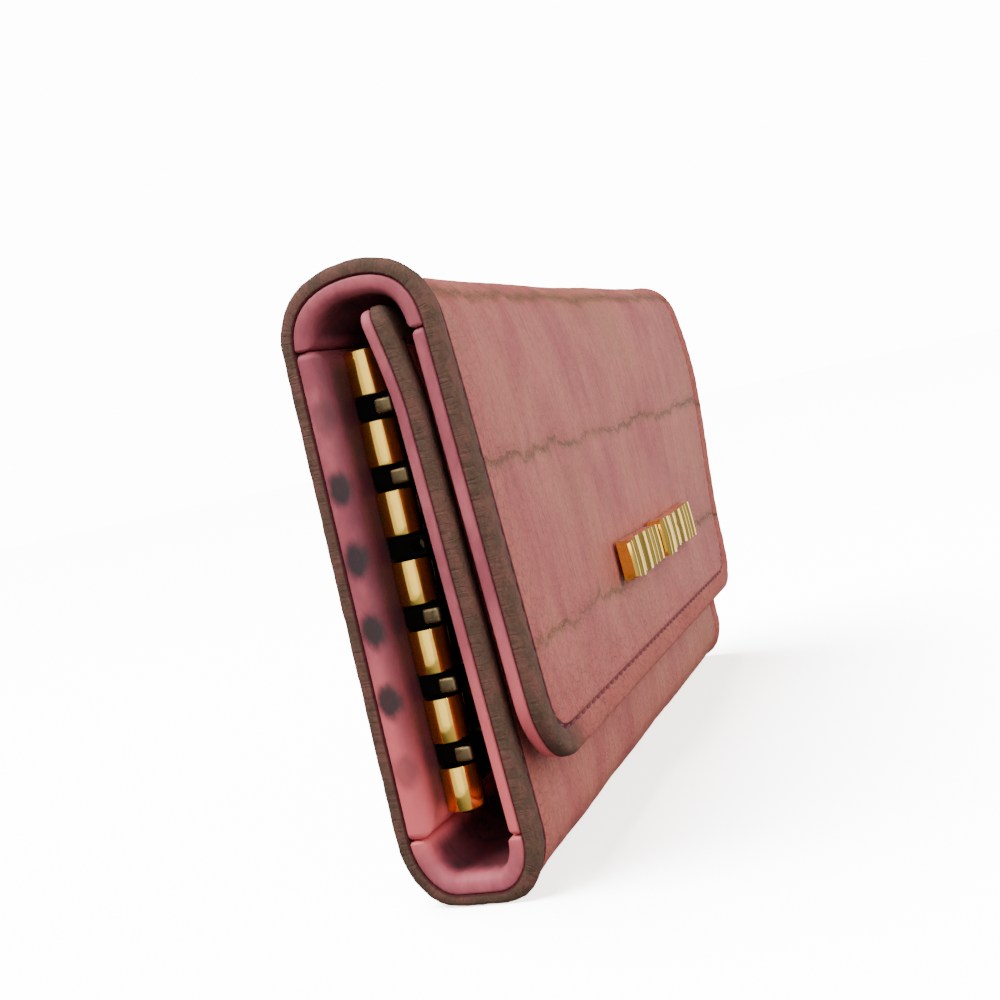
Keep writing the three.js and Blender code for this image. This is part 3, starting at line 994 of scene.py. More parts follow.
@dataclass
class Pattern:
    """A flat outline with rounded corners, cut to a thickness and folded round the profile.

    Args:
        profile: what it is folded round.
        s0: its start along the profile.
        s1: its end.
        low_radius: corner radius at the start.
        high_radius: corner radius at the end.
        near: depth of its outer side.
        far: depth of its inner side.
        roll: radius of its outer edge's rounding.
        inner_roll: radius of its inner edge's rounding.
        cut: where it is cut across, or None for the whole outline.
        grid: spacing of its mesh.
        relief: how far each outer point stands in, from (x, s, edge distance).
        recess: depth of the hollow for a board, and the rim left round it.
        inset_x: how far its two ends stand in from the strip's.
        loops: distances from the outline that get an edge loop of their own, in millimetres.
        close: distances from each end that get a grid line of their own, in millimetres.
        border: how far in from each end the even grid starts.
        corner_steps: spans of a rounded corner.
    """

    profile: Profile
    s0: float
    s1: float
    low_radius: float
    high_radius: float
    near: float
    far: float
    roll: float
    inner_roll: float
    cut: tuple[float, float] | None = None
    grid: float = 1.1 * MM
    relief: Callable[[float, float, float], float] | None = None
    recess: tuple[float, float] = (0.0, 0.0)
    inset_x: float = 0.0
    loops: tuple[float, ...] = (0.06, 0.16, 0.3, 0.5, 0.8, 1.3, 1.9, 2.5, 2.8, 2.95, 3.1, 3.4, 4.0)
    close: tuple[float, ...] = (0.3, 0.8, 1.4, 1.9, 2.4, 2.7, 2.85, 3.0, 3.15, 3.4, 4.0)
    border: float = 5 * MM
    corner_steps: int = 10

    def edge_distance(self, x: float, s: float) -> float:
        """How far a point on the pattern is from its outline.

        Args:
            x: place along the case.
            s: distance along the profile.

        Returns:
            The distance in metres.
        """
        from_x = min(x - self.profile.x0, self.profile.x1 - x) - self.inset_x
        low = s - self.s0 < self.s1 - s
        from_s = min(s - self.s0, self.s1 - s)
        radius = self.low_radius if low else self.high_radius
        if from_x < radius and from_s < radius:
            return radius - math.hypot(radius - from_x, radius - from_s)
        return min(from_x, from_s)

    def insets(self) -> list[float]:
        """Distances in metres of the edge loops that fit inside the corners' rounding."""
        limit = max(min(self.low_radius, self.high_radius) * 0.9, 0.1 * MM)
        return [mark * MM for mark in self.loops if mark * MM < limit]

    def flat_mesh(self) -> bmesh.types.BMesh:
        """Lays the outline out flat, with loops along its edge and a grid inside.

        Returns:
            The mesh, in (x, s).
        """
        bm = bmesh.new()
        x0, x1 = self.profile.x0 + self.inset_x, self.profile.x1 - self.inset_x
        verts = bmesh.ops.create_grid(bm, x_segments=1, y_segments=1, size=0.5)["verts"]
        bmesh.ops.scale(bm, vec=(x1 - x0, self.s1 - self.s0, 1), verts=verts)
        bmesh.ops.translate(bm, vec=((x0 + x1) / 2, (self.s0 + self.s1) / 2, 0), verts=verts)
        middle = (self.s0 + self.s1) / 2
        for radius, is_low in ((self.low_radius, True), (self.high_radius, False)):
            corners = [v for v in verts if v.is_valid and (v.co.y < middle) == is_low and
                       min(abs(v.co.y - self.s0), abs(v.co.y - self.s1)) < 1e-6]
            bmesh.ops.bevel(bm, geom=corners, offset=radius, offset_type="OFFSET",
                            segments=self.corner_steps, profile=0.5, affect="VERTICES", material=-1)
            verts = bm.verts[:]
        core = bm.faces[:]
        reached = 0.0
        for mark in self.insets():
            bmesh.ops.inset_region(bm, faces=core, thickness=mark - reached, use_even_offset=True,
                                   use_boundary=True)
            reached = mark
        low, high = self.cut or (self.s0, self.s1)
        for s, sign in ((low, -1), (high, 1)):
            bmesh.ops.bisect_plane(bm, geom=bm.verts[:] + bm.edges[:] + bm.faces[:], dist=1e-7,
                                   plane_co=(0, s, 0), plane_no=(0, sign, 0), clear_outer=True)
        lines = [(Vector((x, 0, 0)), Vector((1, 0, 0))) for x in self.spread(x0, x1)]
        lines += [(Vector((0, s, 0)), Vector((0, 1, 0))) for s in self.spread(self.s0, self.s1)
                  if low + 0.05 * MM < s < high - 0.05 * MM]
        for point, normal in lines:
            bmesh.ops.bisect_plane(bm, geom=bm.verts[:] + bm.edges[:] + bm.faces[:], dist=1e-7,
                                   plane_co=point, plane_no=normal)
        return bm

    def spread(self, low: float, high: float) -> list[float]:
        """Grid lines between two ends, with close ones beside each end.

        Args:
            low: the first end.
            high: the last end.

        Returns:
            Their places in order.
        """
        lines = [low + mark * MM for mark in self.close] + [high - mark * MM for mark in self.close]
        first, last = low + self.border, high - self.border
        count = max(int((last - first) / self.grid), 1)
        lines += [first + (last - first) * index / count for index in range(count + 1)]
        return sorted(line for line in lines if low < line < high)

    @staticmethod
    def rolled(radius: float, edge: float) -> float:
        """How far a rounded edge pulls a side in.

        Args:
            radius: of the rounding.
            edge: distance from the outline.

        Returns:
            The depth in metres.
        """
        if edge >= radius:
            return 0.0
        return radius - math.sqrt(max(radius ** 2 - (radius - edge) ** 2, 0.0))

    def outer_depth(self, x: float, s: float, edge: float) -> float:
        """Depth of the outer side at a point.

        Args:
            x: place along the case.
            s: distance along the profile.
            edge: distance from the outline.

        Returns:
            The depth in metres.
        """
        depth = self.near + self.rolled(self.roll, edge)
        if self.relief:
            depth += self.relief(x, s, edge)
        hollow, rim = self.recess
        return depth + hollow * (1.0 if edge > rim and hollow else 0.0)

    def build(self) -> bmesh.types.BMesh:
        """Folds the pattern into a solid that keeps its flat place, edge distance and depth.

        Returns:
            The solid.
        """
        bm = self.flat_mesh()
        uv = bm.loops.layers.uv.new("cut")
        edge_layer = bm.verts.layers.float.new("edge_mm")
        depth_layer = bm.verts.layers.float.new("depth_mm")
        made = bmesh.ops.extrude_face_region(bm, geom=bm.faces[:])
        inner = {v for v in made["geom"] if isinstance(v, bmesh.types.BMVert)}
        flat = {}
        for vert in bm.verts:
            x, s = vert.co.x, vert.co.y
            edge = self.edge_distance(x, s)
            flat[vert] = (x, s)
            if vert in inner:
                depth = self.far - self.rolled(self.inner_roll, edge)
            else:
                depth = self.outer_depth(x, s, edge)
            vert[edge_layer] = max(edge, 0.0) / MM
            vert[depth_layer] = depth / MM
            vert.co = self.profile.place(x, s, depth)
        for face in bm.faces:
            for loop in face.loops:
                x, s = flat[loop.vert]
                loop[uv].uv = ((x - self.profile.x0) / MM, s / MM)
        bmesh.ops.recalc_face_normals(bm, faces=bm.faces[:])
        return bm


@dataclass
class OuterLeather:
    """The outer strip with its bound edge, cut into the stretches that meet at the folds.

    Args:
        profile: what it is folded round.
        finishes: the materials.
    """

    profile: Profile
    finishes: Finishes
    thick: float = 1.36 * MM
    roll: float = 0.62 * MM
    inner_roll: float = 0.22 * MM
    flap_radius: float = 8.0 * MM
    front_radius: float = 1.6 * MM
    binding: float = 2.85 * MM
    stitch_line: float = 2.95 * MM
    stitch_pitch: float = 2.05 * MM
    stitch_size: tuple[float, float, float] = (0.74 * MM, 0.25 * MM, 0.20 * MM)
    stitch_slant: float = math.radians(13)
    stitch_depth: float = 0.22 * MM
    corner_steps: int = 8
    proud: float = 0.34 * MM
    proud_shape: float = 0.6
    foot_run: float = 4 * MM
    binding_lumps: Span = (0.10 * MM, 0.9 * MM)
    stitch_pull: Span = (0.30 * MM, 0.22 * MM)
    body_from: Span = (3.0 * MM, 5.5 * MM)
    waves: tuple[tuple[float, float, float, float], ...] = (
        (0.22 * MM, 17 * MM, 11 * MM, 0.3), (0.05 * MM, 2.2 * MM, 6 * MM, 1.7))
    scar_groove: Span = (0.12 * MM, 1.1 * MM)
    flap_seam: float = 6.2 * MM
    top_bend: float = 4.5 * MM
    foot_bend: float = 3.0 * MM

    def relief(self, x: float, s: float, edge: float) -> float:
        """The bound edge stands proud, the stitch line pulls in and the skin between is gently uneven.

        Args:
            x: place along the case.
            s: distance along the profile.
            edge: distance from the strip's edge.

        Returns:
            How far the skin lies in from its smooth face, in metres.
        """
        p, depth = self.profile, 0.0
        if edge < self.binding:
            foot = smooth(p.s_flat_back - self.foot_run, p.s_flat_back, s) \
                * (1 - smooth(p.s_flat_front, p.s_flat_front + self.foot_run, s))
            swell = math.sin(math.pi * (max(edge, 0.0) / self.binding) ** self.proud_shape)
            depth -= self.proud * (1 - foot) * swell
            height, size = self.binding_lumps
            depth += height * noise.noise(Vector((x, s, edge)) / size)
        pull, width = self.stitch_pull
        depth += pull * bump(self.stitch_line, width, edge)
        body = smooth(*self.body_from, edge)
        for height, along, down, layer in self.waves:
            depth += body * height * noise.noise(Vector((x / along, s / down, layer)))
        pitch, first = SeamScars.pitch * MM, SeamScars.first * MM
        away = (s - first + pitch / 2) % pitch - pitch / 2
        groove, width = self.scar_groove
        return depth + body * groove * bump(0.0, width, away)

    def stretch(self, name: str, cut: tuple[float, float]) -> bpy.types.Object:
        """Makes one stretch of the strip.

        Args:
            name: the piece's name.
            cut: where it starts and ends along the profile.

        Returns:
            The piece.
        """
        pattern = Pattern(self.profile, 0.0, self.profile.s_end, self.flap_radius, self.front_radius,
                          0.0, self.thick, self.roll, self.inner_roll, cut, relief=self.relief)
        return finish_piece(name, pattern.build(), self.finishes.leather, 75.0)

    def outline_walk(self) -> list[tuple[float, float, float]]:
        """Walks round the strip's stitch line.

        Returns:
            Each stitch as (x, s, direction), starting up one side.
        """
        p, inset = self.profile, self.stitch_line
        path: list[tuple[float, float]] = []
        corners = [(p.x0, 0.0, self.flap_radius, -1, -1), (p.x1, 0.0, self.flap_radius, 1, -1),
                   (p.x1, p.s_end, self.front_radius, 1, 1), (p.x0, p.s_end, self.front_radius, -1, 1)]
        starts = [math.pi, 1.5 * math.pi, 0.0, 0.5 * math.pi]
        for (cx, cs, radius, sx, ss), start in zip(corners, starts):
            centre_x, centre_s = cx - sx * radius, cs - ss * radius
            reach = max(radius - inset, 0.05 * MM)
            shift = radius - inset - reach
            for index in range(self.corner_steps + 1):
                angle = start + index / self.corner_steps * math.pi / 2
                path.append((centre_x + sx * shift + reach * math.cos(angle),
                             centre_s + ss * shift + reach * math.sin(angle)))
        path.append(path[0])
        stitches = []
        carry = self.stitch_pitch / 2
        for (xa, sa), (xb, sb) in zip(path, path[1:]):
            span = math.hypot(xb - xa, sb - sa)
            while carry <= span:
                t = carry / span
                stitches.append((xa + (xb - xa) * t, sa + (sb - sa) * t, math.atan2(sb - sa, xb - xa)))
                carry += self.stitch_pitch
            carry -= span
        return stitches

    def stitching(self, name: str, cut: tuple[float, float]) -> bpy.types.Object:
        """Makes the stitches that lie on one stretch.

        Args:
            name: the piece's name.
            cut: where the stretch starts and ends along the profile.

        Returns:
            The piece.
        """
        bm = bmesh.new()
        half, wide, tall = self.stitch_size
        for x, s, angle in self.outline_walk():
            if not cut[0] <= s < cut[1]:
                continue
            slanted = angle + self.stitch_slant
            step = Vector((math.cos(slanted), math.sin(slanted))) * half
            depth = self.stitch_depth
            middle = self.profile.place(x, s, depth)
            ahead = self.profile.place(x + step.x, s + step.y, depth) - middle
            _, inward = self.profile.at(s)
            up = -Vector((0, inward.x, inward.y))
            side = up.cross(ahead).normalized()
            turn = Matrix((ahead.normalized(), side, up)).transposed().to_4x4()
            made = bmesh.ops.create_uvsphere(bm, u_segments=8, v_segments=5, radius=1.0)["verts"]
            bmesh.ops.rotate(bm, verts=made, cent=(0, 0, 0), matrix=Matrix.Rotation(math.pi / 2, 3, "Y"))
            bmesh.ops.transform(bm, matrix=Matrix.Translation(middle) @ turn
                                @ Matrix.Diagonal((half, wide, tall, 1)), verts=made)
        return finish_piece(name, bm, self.finishes.thread, 180.0)

    def build(self) -> None:
        """Makes the four stretches with their stitching, and ties the back stretch and its stitching to the
        back.
        """
        p = self.profile
        top_seam = p.s_flap_top + self.flap_seam
        back_seam = (p.s_back_top + p.s_back_foot) / 2
        foot_seam = (p.s_flat_back + p.s_flat_front) / 2
        stretches = [
            ("flap", (0.0, top_seam), (Body.TOP, Body.FLAP), p.s_flap_top + self.top_bend,
             p.s_flap_top - self.top_bend, ["flap_outer_leather"]),
            ("top", (top_seam, back_seam), (Body.TOP, Body.BACK), p.s_back_top - self.top_bend,
             p.s_back_top + self.top_bend, ["top_fold_outer_leather"]),
            ("back", (back_seam, foot_seam), None, 0.0, 0.0, ["back_outer_leather"]),
            ("front", (foot_seam, p.s_end), (Body.BACK, Body.FRONT), p.s_front_foot - self.foot_bend,
             p.s_front_foot + self.foot_bend, ["front_outer_leather", "bottom_fold_outer_leather"]),
        ]
        for name, cut, bodies, start, end, nodes in stretches:
            skin = self.stretch(f"outer_leather_{name}", cut)
            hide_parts(*nodes)
            thread = self.stitching(f"edge_stitching_{name}", cut)
            for piece in (skin, thread):
                if bodies is None:
                    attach(piece, Body.BACK.value)
                else:
                    tuple(p.place(0, start, 0))
                    tuple(p.place(0, end, 0))
                    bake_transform(piece)
            LOG.info("outer leather, %s stretch, with its stitching", name)


@dataclass(frozen=True)
class PanelCut:
    """What is particular to one boarded lining.

    Args:
        name: the panel's name.
        body: what it rides.
        far: depth of its inner side.
        hollow: depth of its hollow for the board.
        radii: its corner radii at the start and end.
        roll: radius of its inner edge's rounding.
    """

    name: str
    body: Body
    far: float
    hollow: float
    radii: Span
    roll: float


BACK_PANEL = PanelCut("back", Body.BACK, 4.2 * MM, 1.7 * MM, (0.9 * MM, 0.9 * MM), 1.6 * MM)
FLAP_PANEL = PanelCut("flap", Body.FLAP, 3.0 * MM, 0.9 * MM, (7.9 * MM, 0.6 * MM), 0.9 * MM)
FRONT_PANEL = PanelCut("front", Body.FRONT, 2.8 * MM, 0.8 * MM, (0.6 * MM, 1.5 * MM), 0.8 * MM)


@dataclass
class Linings:
    """The pink linings: three boarded panels and the thinner folds between them.

    Args:
        profile: what they are folded round.
        finishes: the materials.
    """

    profile: Profile
    finishes: Finishes
    start: float = 1.38 * MM
    rim: float = 3.0 * MM
    inset: float = 0.06 * MM
    gap: float = 0.06 * MM
    hem: float = 0.15 * MM
    tight_roll: float = 0.30 * MM
    panel_grid: float = 2.0 * MM
    fold_far: float = 3.3 * MM
    fold_corner: float = 0.4 * MM
    fold_roll: float = 1.1 * MM
    fold_grid: float = 1.2 * MM
    slack: float = 0.03 * MM
    board_rim: float = 3.5 * MM
    board_corner: float = 2.0 * MM
    board_grid: float = 4.0 * MM
    crease_angle: float = 75.0

    def panel(self, cut: PanelCut, low: float, high: float) -> None:
        """Makes one boarded panel lining and its board.

        Args:
            cut: what is particular to it.
            low: where it starts along the profile.
            high: where it ends.
        """
        lining = Pattern(self.profile, low, high, *cut.radii, self.start, cut.far, self.tight_roll, cut.roll,
                         grid=self.panel_grid, recess=(cut.hollow, self.rim), inset_x=self.inset)
        piece = finish_piece(f"{cut.name}_lining_leather", lining.build(), self.finishes.lining,
                             self.crease_angle)
        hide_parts(f"{cut.name}_lining")
        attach(piece, cut.body.value)
        start = self.start + self.slack
        board = Pattern(self.profile, low + self.board_rim, high - self.board_rim, self.board_corner,
                        self.board_corner, start, start + cut.hollow - 2 * self.slack, self.slack,
                        self.slack, grid=self.board_grid, inset_x=self.inset + self.board_rim)
        stiff = finish_piece(f"{cut.name}_stiffener", board.build(), self.finishes.board,
                             self.crease_angle)
        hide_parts(f"{cut.name}_board")
        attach(stiff, cut.body.value)
        LOG.info("%s lining and its board", cut.name)

    def fold(self, name: str, ends: Span, cut: Span, bodies: tuple[Body, Body] | None, node: str) -> None:
        """Makes one stretch of a fold's thinner lining.

        Args:
            name: the piece's name.
            ends: where the whole fold starts and ends along the profile.
            cut: where this stretch does.
            bodies: the two bodies it lies between, or None if it rides the back.
            node: the CAD node that it replaces.
        """
        pattern = Pattern(self.profile, *ends, self.fold_corner, self.fold_corner, self.start, self.fold_far,
                          self.tight_roll, self.fold_roll, cut, grid=self.fold_grid, inset_x=self.inset)
        piece = finish_piece(name, pattern.build(), self.finishes.lining, self.crease_angle)
        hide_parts(node)
        if bodies is None:
            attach(piece, Body.BACK.value)
        else:
            start, end = (tuple(self.profile.place(0, s, 0)) for s in cut)
            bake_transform(piece)
        LOG.info("%s", name.replace("_", " "))

    def build(self) -> None:
        """Makes every lining."""
        p = self.profile
        self.panel(BACK_PANEL, p.s_back_top + self.gap, p.s_back_foot - self.gap)
        self.panel(FLAP_PANEL, self.hem, p.s_flap_top - self.gap)
        self.panel(FRONT_PANEL, p.s_front_foot + self.gap, p.s_end - self.hem)
        top = (p.s_flap_top + self.gap, p.s_back_top - self.gap)
        self.fold("top_fold_lining_front", top, (top[0], p.s_peak), (Body.FLAP, Body.TOP), "top_fold_lining")
        self.fold("top_fold_lining_back", top, (p.s_peak, top[1]), (Body.TOP, Body.BACK), "top_fold_lining")
        foot = (p.s_back_foot + self.gap, p.s_front_foot - self.gap)
        self.fold("bottom_fold_lining_leather", foot, foot, None, "bottom_fold_lining")


# ---- metalwork ----------------------------------------------------------------------------------

@dataclass
class HookRack:
    """The plate with its rolled knuckles, and the swivel hooks with their gates.

    Args:
        finishes: the materials.
    """

    finishes: Finishes
    plate_thick: float = 0.6 * MM
    plate_from: float = 3.3 * MM
    plate_round: float = 0.15 * MM
    bore: float = 1.0 * MM
    web: Span = (0.2 * MM, 3.6 * MM)
    web_round: float = 0.08 * MM
    round_over: float = 0.16 * MM
    knuckle_count: int = 7
    hook_count: int = 6
    shank: float = 0.6 * MM
    head: Vector = field(default_factory=lambda: Vector((0, 1.0 * MM, 0.78 * MM)))
    head_round: float = 0.30 * MM
    headless: int = 4
    worn_back: float = 2.0 * MM
    shank_from: float = 0.2 * MM
    shank_to: float = 6.4 * MM
    collar_gap: float = 0.3 * MM
    collar: tuple[Span, ...] = ((0, 0), (1.1, 0), (1.3, 0.2), (1.3, 0.9), (0.9, 1.3), (0.6, 2.2), (0, 2.2))
    loop_from: float = 1.6 * MM
    loop_half: float = 1.65 * MM
    loop_lip: float = 0.12
    loop_catch: float = 0.4 * MM
    wire: float = 0.55 * MM
    bend_steps: int = 12
    gate_round: float = 0.12 * MM

    def knuckle_sizes(self) -> tuple[Vector, float, list[float], float]:
        """Measures the knuckles on the rack's box and the links.

        Returns:
            Their axis, radius, centres and length.
        """
        low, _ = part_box("rack_plate")
        rod_low, rod_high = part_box("rack_rod")
        axis = (rod_low + rod_high) / 2
        radius = axis.x - low.x
        links = [sum((corner.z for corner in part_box(f"hook_link_{index}")), 0.0) / 2
                 for index in range(1, self.hook_count + 1)]
        pitch = (links[-1] - links[0]) / (len(links) - 1)
        centres = [links[0] + (index - 0.5) * pitch for index in range(self.knuckle_count)]
        return axis, radius, centres, 2 * (centres[0] - low.z)

    def plate(self) -> bpy.types.Object:
        """Makes the plate and its rolled knuckles.

        Returns:
            The knuckles.
        """
        low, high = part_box("rack_plate")
        axis, radius, centres, length = self.knuckle_sizes()
        front = high.y - self.plate_thick
        bm = bmesh.new()
        rounded_box(bm, Vector((axis.x + self.plate_from, front, low.z)), high, self.plate_round)
        # painted shade: the strip is finished near black for the shade it sits in
        strip = finish_piece("rack_plate_strip", bm, self.finishes.sooted)
        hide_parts("rack_plate")
        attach(strip, Body.BACK.value)
        bm = bmesh.new()
        half, r = length / 2, self.round_over
        corner = 0.3 * r
        section = [(self.bore, -half), (radius - r, -half), (radius - corner, -half + corner),
                   (radius, -half + r), (radius, half - r), (radius - corner, half - corner),
                   (radius - r, half), (self.bore, half)]
        for z in centres:
            lathe(bm, section, Vector((axis.x, axis.y, z)), Vector((0, 0, 1)), 56)
            rounded_box(bm, Vector((axis.x + self.web[0], front, z - half)),
                        Vector((axis.x + self.web[1], high.y, z + half)), self.web_round)
        piece = finish_piece("rack_knuckles", bm, self.finishes.gold)
        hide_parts("rack_plate")
        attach(piece, Body.BACK.value)
        LOG.info("rack plate with %d knuckles", self.knuckle_count)
        return piece

    def shank_heads(self) -> None:
        """Each hook: a peened head, a shank, a collar and an oval wire loop open at its gate."""
        for index in range(1, self.hook_count + 1):
            low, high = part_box(f"hook_{index}")
            link_low, link_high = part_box(f"hook_link_{index}")
            middle = (low + high) / 2
            axis = Vector((1, 0, 0))
            bm = bmesh.new()
            start = Vector((low.x, middle.y, middle.z))
            reach = link_low.x - low.x - 0.1 * MM
            first = reach + self.worn_back if index == self.headless else self.shank_from
            lathe(bm, [(0, first), (self.shank, first), (self.shank, self.shank_to), (0, self.shank_to)],
                  start, axis, 20)
            if index != self.headless:
                rounded_box(bm, start - self.head, start + Vector((reach, self.head.y, self.head.z)),
                            self.head_round, 3)
            collar = Vector((link_high.x + self.collar_gap, middle.y, middle.z))
            lathe(bm, [(radius * MM, along * MM) for radius, along in self.collar], collar, axis, 24)
            self.loop(bm, Vector((collar.x + self.loop_from, middle.y, middle.z)), high.x)
            piece = finish_piece(f"swivel_hook_{index}", bm, self.finishes.dull_gold)
            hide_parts(f"hook_{index}")
            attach(piece, f"hook_{index}")
        LOG.info("%d swivel hooks", self.hook_count)

    def loop(self, bm: bmesh.types.BMesh, start: Vector, end_x: float) -> None:
        """Adds an oval wire loop that stands in the XZ plane, open along its upper side.

        Args:
            bm: where it is added.
            start: the middle of its near end.
            end_x: where its far end reaches.
        """
        half, steps = self.loop_half, self.bend_steps
        length = end_x - start.x - self.wire
        straight = length - 2 * half
        path = []
        for index in range(7):
            path.append(start + Vector((half + straight * self.loop_lip * (1 - index / 6), 0, half)))
        for index in range(1, steps):
            angle = math.pi / 2 + math.pi * index / steps
            path.append(start + Vector((half + half * math.cos(angle), 0, half * math.sin(angle))))
        for index in range(9):
            path.append(start + Vector((half + straight * index / 8, 0, -half)))
        for index in range(1, steps + 1):
            angle = -math.pi / 2 + math.pi * index / steps
            path.append(start + Vector((length - half + half * math.cos(angle), 0, half * math.sin(angle))))
        path.append(path[-1] + Vector((-self.loop_catch, 0, 0)))
        sweep(bm, path, self.wire, 10)

    def gates(self) -> None:
        """The hooks' flat spring gates, with rounded edges."""
        for index in range(1, self.hook_count + 1):
            bm = bmesh.new()
            rounded_box(bm, *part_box(f"hook_gate_{index}"), self.gate_round)
            piece = finish_piece(f"spring_gate_{index}", bm, self.finishes.dull_gold)
            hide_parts(f"hook_gate_{index}")
            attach(piece, f"gate_{index}")
        LOG.info("%d spring gates", self.hook_count)

    def build(self) -> bpy.types.Object:
        """Makes the rack and its hooks.

        Returns:
            The knuckles.
        """
        knuckles = self.plate()
        self.shank_heads()
        self.gates()
        return knuckles


def sweep(bm: bmesh.types.BMesh, path: Sequence[Vector], radius: float, sides: int) -> None:
    """Adds a closed round bar along a path.

    Args:
        bm: where it is added.
        path: its centre line.
        radius: of the bar.
        sides: of its section.
    """
    rings = []
    normal = Vector((0, 1, 0))
    for index, point in enumerate(path):
        ahead = path[min(index + 1, len(path) - 1)] - path[max(index - 1, 0)]
        side = ahead.normalized().cross(normal).normalized()
        ring = [bm.verts.new(point + (side * math.cos(math.tau * k / sides)
                                      + normal * math.sin(math.tau * k / sides)) * radius)
                for k in range(sides)]
        for k in range(sides):
            bm.edges.new((ring[k], ring[(k + 1) % sides]))
        rings.append(ring)
    for first, second in zip(rings, rings[1:]):
        edges = [edge for ring in (first, second) for vert in ring for edge in vert.link_edges
                 if all(v in ring for v in edge.verts)]
        bmesh.ops.bridge_loops(bm, edges=list(dict.fromkeys(edges)))
    caps = [bm.faces.new(rings[0]), bm.faces.new(rings[-1])]
    faces = {face for ring in rings for vert in ring for face in vert.link_faces} | set(caps)
    bmesh.ops.recalc_face_normals(bm, faces=list(faces))


@dataclass
class Bow:
    """A plain ribbed metal bow: two fluted wings and a fluted knot.

    Args:
        finishes: the materials.
    """

    finishes: Finishes
    rib_depth: float = 0.30 * MM
    wing_ribs: int = 6
    knot_ribs: int = 2
    unevenness: float = 0.055
    unevenness_waves: float = 1.5
    end_round: float = 0.16
    end_reach: float = 0.14
    rib_shape: float = 0.8
    rib_fall: float = 1.5
    rib_narrow: float = 0.04
    cuts_per_rib: int = 8
    cuts_high: int = 8
    front_depth: float = 1.25 * MM
    wing_crown: float = 0.07 * MM
    knot_crown: float = 0.12 * MM
    crease_angle: float = 28.0

    def fluted(self, node: str, ribs: int, crown: float, outer: float) -> bpy.types.Object:
        """A fluted block that follows a solid's taper.

        Args:
            node: the solid it stands for.
            ribs: how many ribs it has.
            crown: how far its long edges fall back.
            outer: 0 when its free end is the near one, 1 when it is the far one, 0.5 for neither.

        Returns:
            The piece.
        """
        bm = bmesh.new()
        bm.from_mesh(frame["nodes"][node].data)
        bmesh.ops.remove_doubles(bm, verts=bm.verts[:], dist=1e-6)
        bmesh.ops.recalc_face_normals(bm, faces=bm.faces[:])
        low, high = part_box(node)
        count = ribs * self.cuts_per_rib
        cuts = [(Vector((low.x + (high.x - low.x) * index / count, 0, 0)), Vector((1, 0, 0)))
                for index in range(1, count)]
        cuts += [(Vector((0, 0, low.z + (high.z - low.z) * index / self.cuts_high)), Vector((0, 0, 1)))
                 for index in range(1, self.cuts_high)]
        for point, normal in cuts:
            bmesh.ops.bisect_plane(bm, geom=bm.verts[:] + bm.edges[:] + bm.faces[:], dist=1e-8,
                                   plane_co=point, plane_no=normal)
        middle = (low.z + high.z) / 2
        for vert in bm.verts:
            if vert.co.y > low.y + self.front_depth:
                continue
            t = (vert.co.x - low.x) / (high.x - low.x)
            uneven = t + self.unevenness * math.sin(math.tau * (self.unevenness_waves * t + outer))
            fall = 1 - abs(math.sin(math.pi * ribs * uneven)) ** self.rib_shape
            tall = 2 * (vert.co.z - middle) / (high.z - low.z)
            vert.co.y += self.rib_depth * fall * self.rib_fall + crown * tall ** 2
            narrow = self.rib_narrow * fall
            if outer != 0.5:
                to_end = t if outer < 0.5 else 1 - t
                narrow += self.end_round * (1 - smooth(0.0, self.end_reach, to_end))
            vert.co.z = middle + (vert.co.z - middle) * (1 - narrow)
        piece = finish_piece(f"{node}_fluted", bm, self.finishes.gold, self.crease_angle)
        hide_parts(node)
        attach(piece, Body.FLAP.value)
        return piece

    def build(self) -> None:
        """Makes the wings and the knot."""
        self.fluted("bow_wing_near", self.wing_ribs, self.wing_crown, 0.0)
        self.fluted("bow_wing_far", self.wing_ribs, self.wing_crown, 1.0)
        self.fluted("bow_knot", self.knot_ribs, self.knot_crown, 0.5)
        LOG.info("bow")


@dataclass
class SmallParts:
    """CAD pieces kept as they are, given their finishes.

    Args:
        finishes: the materials.
    """

    finishes: Finishes
    gold: tuple[str, ...] = ("rack_rivet_lower", "rack_rivet_upper", "snap_socket", "snap_stud",
                             "bow_prong_near", "bow_prong_far")

    def dress(self) -> None:
        """Assigns each CAD node its material."""
        for name, node in frame["nodes"].items():
            node.data.materials.clear()
            node.data.materials.append(self.finishes.gold if name in self.gold else self.finishes.steel)


# ---- floor, light and camera --------------------------------------------------------------------

@dataclass(frozen=True)
class SoftLight:
    """An area light that the camera doesn't see.

    Args:
        name: its name.
        at: where it stands, in metres.
        size: its width and height.
        watts: its power.
        towards: what it faces.
    """

    name: str
    at: Colour
    size: Span
    watts: float
    towards: Colour = (0.0, 0.0, 0.03)

    def build(self) -> bpy.types.Object:
        """Makes the light.

        Returns:
            Its object.
        """
        data = bpy.data.lights.new(self.name, "AREA")
        data.shape, data.energy = "RECTANGLE", self.watts
        data.size, data.size_y = self.size
        light = hang_light(data, Vector(self.towards) - Vector(self.at))
        light.location = self.at
        light.visible_camera = False
        return light


LIGHTS = (SoftLight("key_light", (-0.30, 0.40, 0.65), (0.35, 0.35), 9.0),
          SoftLight("front_light", (-0.20, -0.65, 0.40), (0.85, 0.85), 6.8),
          SoftLight("side_light", (0.66, -0.24, 0.08), (0.35, 0.45), 1.0),
          SoftLight("end_light", (-0.72, -0.26, 0.14), (0.9, 0.8), 1.25))
RACK_LIGHT = SoftLight("rack_light", (-0.70, 0.06, 0.10), (1.0, 0.8), 2.2, (0.0, 0.0, 0.0))


